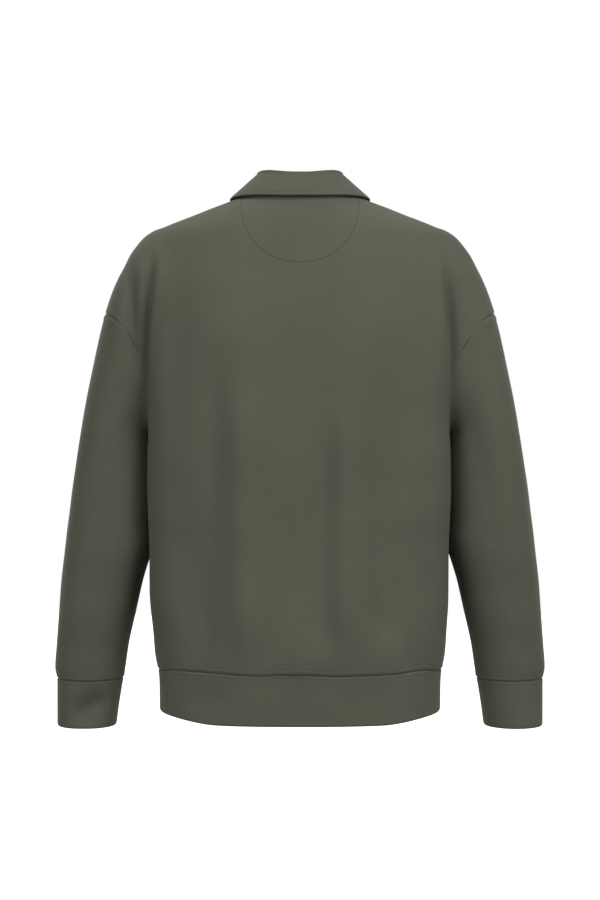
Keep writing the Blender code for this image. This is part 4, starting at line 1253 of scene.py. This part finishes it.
def collar_grid():
    """The stand, the fold and the fall as rows of points, and their normals."""
    half = np.concatenate([neck_turns(1, COLLAR_CELL)[:-1], neck_turns(-1, COLLAR_CELL)[::-1]])
    turn = np.concatenate([-half[:0:-1], half])
    size = np.abs(turn)
    side = np.sign(turn)
    base = neck_seam(size)
    normal = normals_on(garment, base)
    into = unit(np.cross(neck_seam(size + 0.01) - neck_seam(size - 0.01), normal))
    into = np.where((into[:, 2] < 0)[:, None], -into, into)
    top = fold_line(size, base[:, 2])
    edge = edge_line(size)
    out = edge - top
    out[:, 2] = 0
    out = unit(out)
    up = np.array([0.0, 0.0, 1.0])
    start = base - normal * CLOTH + into * SEAM_GAP
    inner = top - out * FOLD_RADIUS
    rows = [start + (inner - start) * i / STAND_ROWS for i in range(STAND_ROWS)]
    for i in range(FOLD_ROWS):
        angle = np.pi * (1 - i / FOLD_ROWS)
        rows.append(top + FOLD_RADIUS * (out * np.cos(angle) + up * np.sin(angle)))
    outer = top + out * FOLD_RADIUS
    roll = (out + up) * ROLL_SHARE * along(COLLAR, "roll", np.degrees(size))[:, None]
    for share in steps(FALL_LENGTH, False, True, COLLAR_CELL):
        rows.append(outer + (edge - outer) * share + roll * 4 * share * (1 - share))
    grid = np.stack(rows)
    grid[FALL_ROW:] = lifted_clear(grid[FALL_ROW:])
    grid[..., 0] *= side
    normal = normal * np.stack([side + (side == 0), 1 + 0 * side, 1 + 0 * side], axis=-1)
    other = unit(np.cross(np.gradient(grid, axis=0), np.gradient(grid, axis=1)))
    other = other * np.sign((other[0] * normal).sum(-1))[None, :, None]
    other[0] = normal
    return grid, -other


def build_collar():
    """The collar, with its line of stitches."""
    grid, normals = collar_grid()
    near = np.minimum(from_edge(grid, "left"), from_edge(grid, "right"))
    near = np.minimum(from_edge(grid, "bottom"), near)
    dent = np.where(np.arange(len(grid))[:, None] > FALL_ROW, seam("collar edge", near), 0)
    grid = grid + normals * dent[..., None]
    ways = normals.reshape(-1, 3)
    piece = shell("collar", grid.reshape(-1, 3), cells(*grid.shape[:2]), ways, CLOTH)
    fall = slice(FALL_ROW - 2, None)
    line, out = line_at(grid[fall], normals[fall], "collar edge", "bottom")
    return piece, stitches("collar_stitches", [(line[3:-3], out[3:-3])])


# ---- the zip ---------------------------------------------------------------
def front_middle(z, depth):
    """Points this far behind the front's outer face at the middle."""
    line = cast(garment, 0.0, 0.0, -np.pi / 2, z)
    out = normals_on(garment, line)
    out[:, 0] = 0
    out = unit(out)
    line[:, 0] = 0
    return line - out * depth, out


def build_teeth():
    """Moulded teeth, turn about from the two tapes."""
    low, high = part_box("zip_chain")
    half = TOOTH_OUTLINE[1:]
    outline = half + tuple((x, -u) for x, u in half[::-1])
    count = int((high[2] - low[2] - TOOTH_ENDS) / TOOTH_PITCH)
    heights = low[2] + TOOTH_PITCH / 2 + np.arange(count) * TOOTH_PITCH
    middle, out = front_middle(heights, CLOTH + TAPE_GAP + TAPE_CLOTH / 2)
    points = []
    faces = []
    for k in range(count):
        side = 1 if k % 2 else -1
        run = np.cross([1.0, 0.0, 0.0], out[k])
        faces += tube_faces(len(points), len(TOOTH_LEVELS) - 1, len(outline), side < 0)
        for w, shrink in TOOTH_LEVELS[1:]:
            for x, u in outline:
                x = TOOTH_MIDDLE + (x - TOOTH_MIDDLE) * shrink
                place = np.array([side * x, 0, 0]) + run * u * shrink * TOOTH_SPARE + out[k] * w
                points.append(middle[k] + MILLIMETRE * place)
    piece = add_mesh("zip_teeth", np.array(points), faces, [METAL_FINISH], smooth=False)
    bm = bmesh.new()
    bm.from_mesh(piece.data)
    bmesh.ops.recalc_face_normals(bm, faces=bm.faces)
    bm.to_mesh(piece.data)
    bm.free()
    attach(piece, "garment")
    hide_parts("zip_chain")


def refine(node, name, body, width, segments):
    """A finer copy of a metal solid, its edges rounded."""
    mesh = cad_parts[node].data.copy()
    mesh.name = name
    piece = link(name, mesh)
    bm = bmesh.new()
    bm.from_mesh(mesh)
    bmesh.ops.remove_doubles(bm, verts=bm.verts, dist=1e-6)
    bmesh.ops.dissolve_limit(bm, angle_limit=0.02, verts=bm.verts, edges=bm.edges)
    bm.to_mesh(mesh)
    bm.free()
    mesh.materials.clear()
    mesh.materials.append(METAL_FINISH)
    bevel = piece.modifiers.new("rounded", "BEVEL")
    bevel.width = width
    bevel.segments = segments
    bevel.limit_method = "ANGLE"
    bevel.angle_limit = 0.5
    mesh.polygons.foreach_set("use_smooth", np.full(len(mesh.polygons), True))
    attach(piece, body)
    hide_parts(node)


def build_zip(front):
    """Teeth, slider, pull and tapes. Gives the stitches beside them."""
    build_teeth()
    refine("zip_slider", "slider", "garment", *SLIDER_ROUNDING)
    refine("zip_pull", "pull_tab", "pull", *PULL_ROUNDING)
    for node in ("zip_tape_left", "zip_tape_right"):
        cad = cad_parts[node]
        cad.data.materials.clear()
        cad.data.materials.append(TAPE)
    grid, normals, columns = front["grid"], front["normals"], front["columns"]
    place = row_named(SEAMS, "zip")["stitch"]
    rows = np.arange(2, front["slit_row"] + 1)
    lines = []
    for column, cut in ((columns, np.s_[columns:]), (columns - 1, np.s_[columns - 1::-1])):
        line = [read_at(place, reaches(grid[i, cut]), grid[i, cut]) for i in rows]
        lines.append((np.array(line), normals[rows, column]))
    left, right = lines[0][0][-1], lines[1][0][-1]
    bottom = left + (right - left) * np.linspace(0, 1, 12)[:, None]
    ways = np.repeat(normals[front["slit_row"], columns][None], 12, axis=0)
    return stitches("zip_stitches", lines + [(bottom, ways)])


# ---- materials -------------------------------------------------------------
def set_inputs(node, values):
    for name, value in values.items():
        node.inputs[name].default_value = value


def start_material(name):
    material = bpy.data.materials.new(name)
    material.use_nodes = True
    tree = material.node_tree
    place = tree.nodes.new("ShaderNodeTexCoord").outputs["Object"]
    return material, tree, tree.nodes["Principled BSDF"], place


def noise(tree, place, scale, detail=2.0, roughness=0.5):
    node = tree.nodes.new("ShaderNodeTexNoise")
    set_inputs(node, {"Scale": scale, "Detail": detail, "Roughness": roughness})
    tree.links.new(place, node.inputs["Vector"])
    return node.outputs["Fac"]


def maths(tree, operation, *values):
    node = tree.nodes.new("ShaderNodeMath")
    node.operation = operation
    for socket, value in zip(node.inputs, values):
        if hasattr(value, "is_linked"):
            tree.links.new(value, socket)
        else:
            socket.default_value = value
    return node.outputs[0]


def plus(tree, a, b):
    return maths(tree, "ADD", a, b)


def times(tree, a, b):
    return maths(tree, "MULTIPLY", a, b)


def waves(tree, value, pitch):
    return maths(tree, "SINE", times(tree, value, 2 * np.pi / pitch))


def xyz(tree, place):
    split = tree.nodes.new("ShaderNodeSeparateXYZ")
    tree.links.new(place, split.inputs[0])
    return split.outputs


def mixed(tree, factor, a, b):
    """A mix of two colours. The first may be linked."""
    mix = tree.nodes.new("ShaderNodeMix")
    mix.data_type = "RGBA"
    tree.links.new(factor, mix.inputs["Factor"])
    if hasattr(a, "is_linked"):
        tree.links.new(a, mix.inputs["A"])
    else:
        mix.inputs["A"].default_value = (*a, 1)
    mix.inputs["B"].default_value = (*b, 1)
    return mix.outputs["Result"]


def ramp(tree, value, low, high, colour_low, colour_high):
    node = tree.nodes.new("ShaderNodeMapRange")
    set_inputs(node, {"From Min": low, "From Max": high})
    tree.links.new(value, node.inputs["Value"])
    return mixed(tree, node.outputs["Result"], colour_low, colour_high)


def shaded(colour, by):
    return tuple(min(1.0, c * by) for c in colour)


def dress(tree, shader, base, height, strength, distance):
    """Joins a colour and the height of a bump to a shader."""
    tree.links.new(base, shader.inputs["Base Color"])
    bump = tree.nodes.new("ShaderNodeBump")
    set_inputs(bump, {"Strength": strength, "Distance": distance})
    tree.links.new(height, bump.inputs["Height"])
    tree.links.new(bump.outputs["Normal"], shader.inputs["Normal"])


def wales(tree, place):
    """The fine upright rows of loops on the face of the knit."""
    x, y, z = xyz(tree, place)
    rows = waves(tree, plus(tree, x, times(tree, y, WALE_SLANT)), WALE)
    return plus(tree, times(tree, rows, 0.6), times(tree, waves(tree, z, COURSE), 0.4))


def half_moon_groove_and_painted_shade(tree, place):
    """1 on the half moon's line of stitches, on the outside of the back. It sinks the groove
    there and sets the painted shade along it.
    """
    x, y, z = xyz(tree, place)
    across = maths(tree, "DIVIDE", maths(tree, "ABSOLUTE", x), MOON_HALF_WIDTH)
    below = maths(tree, "MAXIMUM", maths(tree, "SUBTRACT", MOON_TOP, z), 0.0)
    drop = maths(tree, "DIVIDE", below, MOON_DEPTH)
    total = plus(tree, *(maths(tree, "POWER", size, MOON_SQUARENESS) for size in (across, drop)))
    off = maths(tree, "SUBTRACT", maths(tree, "POWER", total, 1 / MOON_SQUARENESS), 1.0)
    off = maths(tree, "DIVIDE", times(tree, off, MOON_HALF_WIDTH), MOON_LINE)
    groove_and_painted_shade = maths(tree, "EXPONENT", times(tree, times(tree, off, off), -1.0))
    return times(tree, groove_and_painted_shade, maths(tree, "GREATER_THAN", y, 0.0))


def fleece(name, colour, nap, moon):
    """Brushed-back sweatshirt knit. nap is how fuzzy its surface is."""
    material, tree, shader, place = start_material(name)
    broad = noise(tree, place, 9.0)
    grain = noise(tree, place, 520.0, 4.0, 0.75)
    fuzz = noise(tree, place, 2600.0, 2.0, 0.6)
    tone = plus(tree, times(tree, broad, 0.35), times(tree, grain, 0.65))
    darker, lighter = shaded(colour, 1 - GRAIN_DEPTH), shaded(colour, 1 + GRAIN_DEPTH)
    base = ramp(tree, tone, 0.30, 0.70, darker, lighter)
    height = plus(tree, times(tree, grain, 0.8), times(tree, fuzz, 0.7))
    height = plus(tree, height, times(tree, wales(tree, place), 0.10 * (1 - nap)))
    # The half moon's line: a real groove in the bump, and painted shade of that groove darkening
    # the colour
    if moon:
        groove_and_painted_shade = half_moon_groove_and_painted_shade(tree, place)
        height = maths(tree, "SUBTRACT", height, times(tree, groove_and_painted_shade, 2.2))
        base = mixed(tree, times(tree, groove_and_painted_shade, MOON_PAINTED_SHADE), base, shaded(colour, 0.25))
    dress(tree, shader, base, height, 0.35 + 0.4 * nap, 0.00025 + 0.0005 * nap)
    set_inputs(shader, {
        "Roughness": 0.92, "Specular IOR Level": 0.10, "Sheen Weight": SHEEN + 0.10 * nap,
        "Sheen Roughness": 0.45, "Sheen Tint": (0.80, 0.82, 0.72, 1),
    })
    return material


def thread(name, colour):
    material, tree, shader, place = start_material(name)
    strand = noise(tree, place, 3000.0)
    base = ramp(tree, strand, 0.3, 0.7, shaded(colour, 0.85), shaded(colour, 1.15))
    dress(tree, shader, base, strand, 0.3, 0.0001)
    set_inputs(shader, {"Roughness": 0.6, "Specular IOR Level": 0.3})
    return material


def woven_tape(name, colour):
    """The close twill of a zip tape."""
    material, tree, shader, place = start_material(name)
    x, _, z = xyz(tree, place)
    from_middle = maths(tree, "SUBTRACT", maths(tree, "ABSOLUTE", x), TAPE_MIDDLE)
    twill = waves(tree, plus(tree, z, maths(tree, "ABSOLUTE", from_middle)), TWILL)
    tone = plus(tree, times(tree, twill, 0.25), noise(tree, place, 1800.0))
    base = ramp(tree, tone, 0.2, 0.8, shaded(colour, 0.85), shaded(colour, 1.12))
    dress(tree, shader, base, tone, 0.5, 0.00015)
    set_inputs(shader, {"Roughness": 0.75})
    return material


def dull_metal(name, colour):
    """Plated metal, a little rubbed."""
    material, tree, shader, place = start_material(name)
    rub = noise(tree, place, 300.0, 4.0, 0.6)
    base = ramp(tree, rub, 0.35, 0.7, shaded(colour, 0.85), shaded(colour, 1.35))
    dress(tree, shader, base, noise(tree, place, 2500.0), 0.15, 0.00005)
    rough = tree.nodes.new("ShaderNodeMapRange")
    set_inputs(rough, {"To Min": 0.26, "To Max": 0.46})
    tree.links.new(rub, rough.inputs["Value"])
    tree.links.new(rough.outputs["Result"], shader.inputs["Roughness"])
    set_inputs(shader, {"Metallic": 1.0})
    return material


def floor_material():
    material, tree, shader, place = start_material("pale_floor")
    base = ramp(tree, noise(tree, place, 1.5), 0.3, 0.7, (0.93, 0.93, 0.93), (0.96, 0.96, 0.96))
    tree.links.new(base, shader.inputs["Base Color"])
    set_inputs(shader, {
        "Roughness": 0.9, "Specular IOR Level": 0.1,
        "Emission Color": (1, 1, 1, 1), "Emission Strength": FLOOR_GLOW,
    })
    return material


FACE = fleece("fleece_face", FABRIC, 0.0, False)
# Fleece with the half moon's groove and the painted shade along it
MOON_GROOVE_AND_PAINTED_SHADE_FACE = fleece("fleece_face_with_half_moon_groove_and_painted_shade", FABRIC, 0.0, True)
NAP = fleece("fleece_nap", NAP_COLOUR, 1.0, False)
THREAD = thread("sewing_thread", THREAD_COLOUR)
TAPE = woven_tape("zip_tape_twill", TAPE_COLOUR)
METAL_FINISH = dull_metal("dull_metal", METAL)


# ---- stage, light and camera -----------------------------------------------
def build_floor():
    mesh = bpy.data.meshes.new("floor")
    ends = (-FLOOR_HALF, FLOOR_HALF)
    corners = [(ends[i], ends[j], 0) for i, j in ((0, 0), (1, 0), (1, 1), (0, 1))]
    mesh.from_pydata(corners, [], [(0, 1, 2, 3)])
    mesh.materials.append(floor_material())
    floor = link("floor", mesh)
    floor.location = (0, 0, FLOOR_HEIGHT)
    floor.visible_diffuse = False


def build_light():
    """Soft light from both sides and above, and a world lighter above."""
    world = bpy.data.worlds.new("studio")
    bpy.context.scene.world = world
    world.use_nodes = True
    tree = world.node_tree
    back = tree.nodes["Background"]
    way = tree.nodes.new("ShaderNodeTexCoord").outputs["Generated"]
    height = tree.nodes.new("ShaderNodeMapRange")
    height.interpolation_type = "SMOOTHSTEP"
    tree.links.new(xyz(tree, way)["Z"], height.inputs["Value"])
    set_inputs(height, {"From Min": -1.0, "To Min": AMBIENT_BELOW, "To Max": AMBIENT_ABOVE})
    seen = tree.nodes.new("ShaderNodeLightPath").outputs["Is Camera Ray"]
    strength = maths(tree, "MAXIMUM", height.outputs["Result"], seen)
    back.inputs["Color"].default_value = (1, 1, 1, 1)
    tree.links.new(strength, back.inputs["Strength"])
    bpy.context.scene.view_settings.view_transform = "Standard"
    bpy.context.scene.view_settings.look = "None"
    for way, before in ((1, ""), (-1, "front_")):
        for name, x, y, z, size, power in LIGHTS[1:]:
            light = bpy.data.lights.new(before + name, "AREA")
            light.size = size
            light.energy = power
            lamp = link(before + name, light)
            lamp.location = (way * x, way * y, z)
            away = Vector(LIGHTS_AIM) - lamp.location
            lamp.rotation_euler = away.to_track_quat("-Z", "Y").to_euler()


def build_camera():
    data = bpy.data.cameras.new("camera")
    camera = link("camera", data)
    camera.location = CAMERA_PLACE
    camera.rotation_euler = (np.pi / 2, 0, np.pi)
    data.lens = 44.0
    data.sensor_fit = "VERTICAL"
    data.sensor_height = 24.0
    data.sensor_width = 36.0
    data.clip_start = 0.05
    data.clip_end = 40.0
    bpy.context.scene.camera = camera


def build():
    build_floor()
    build_light()
    build_camera()
    panels = build_panels()
    back, front = panels["back"], panels["front"]
    patch, moon = build_patch(back)
    sleeves, cuff_ring = build_sleeves()
    bands = build_bands(cuff_ring)
    collar = build_collar()
    zip_sewn = build_zip(front)


build()
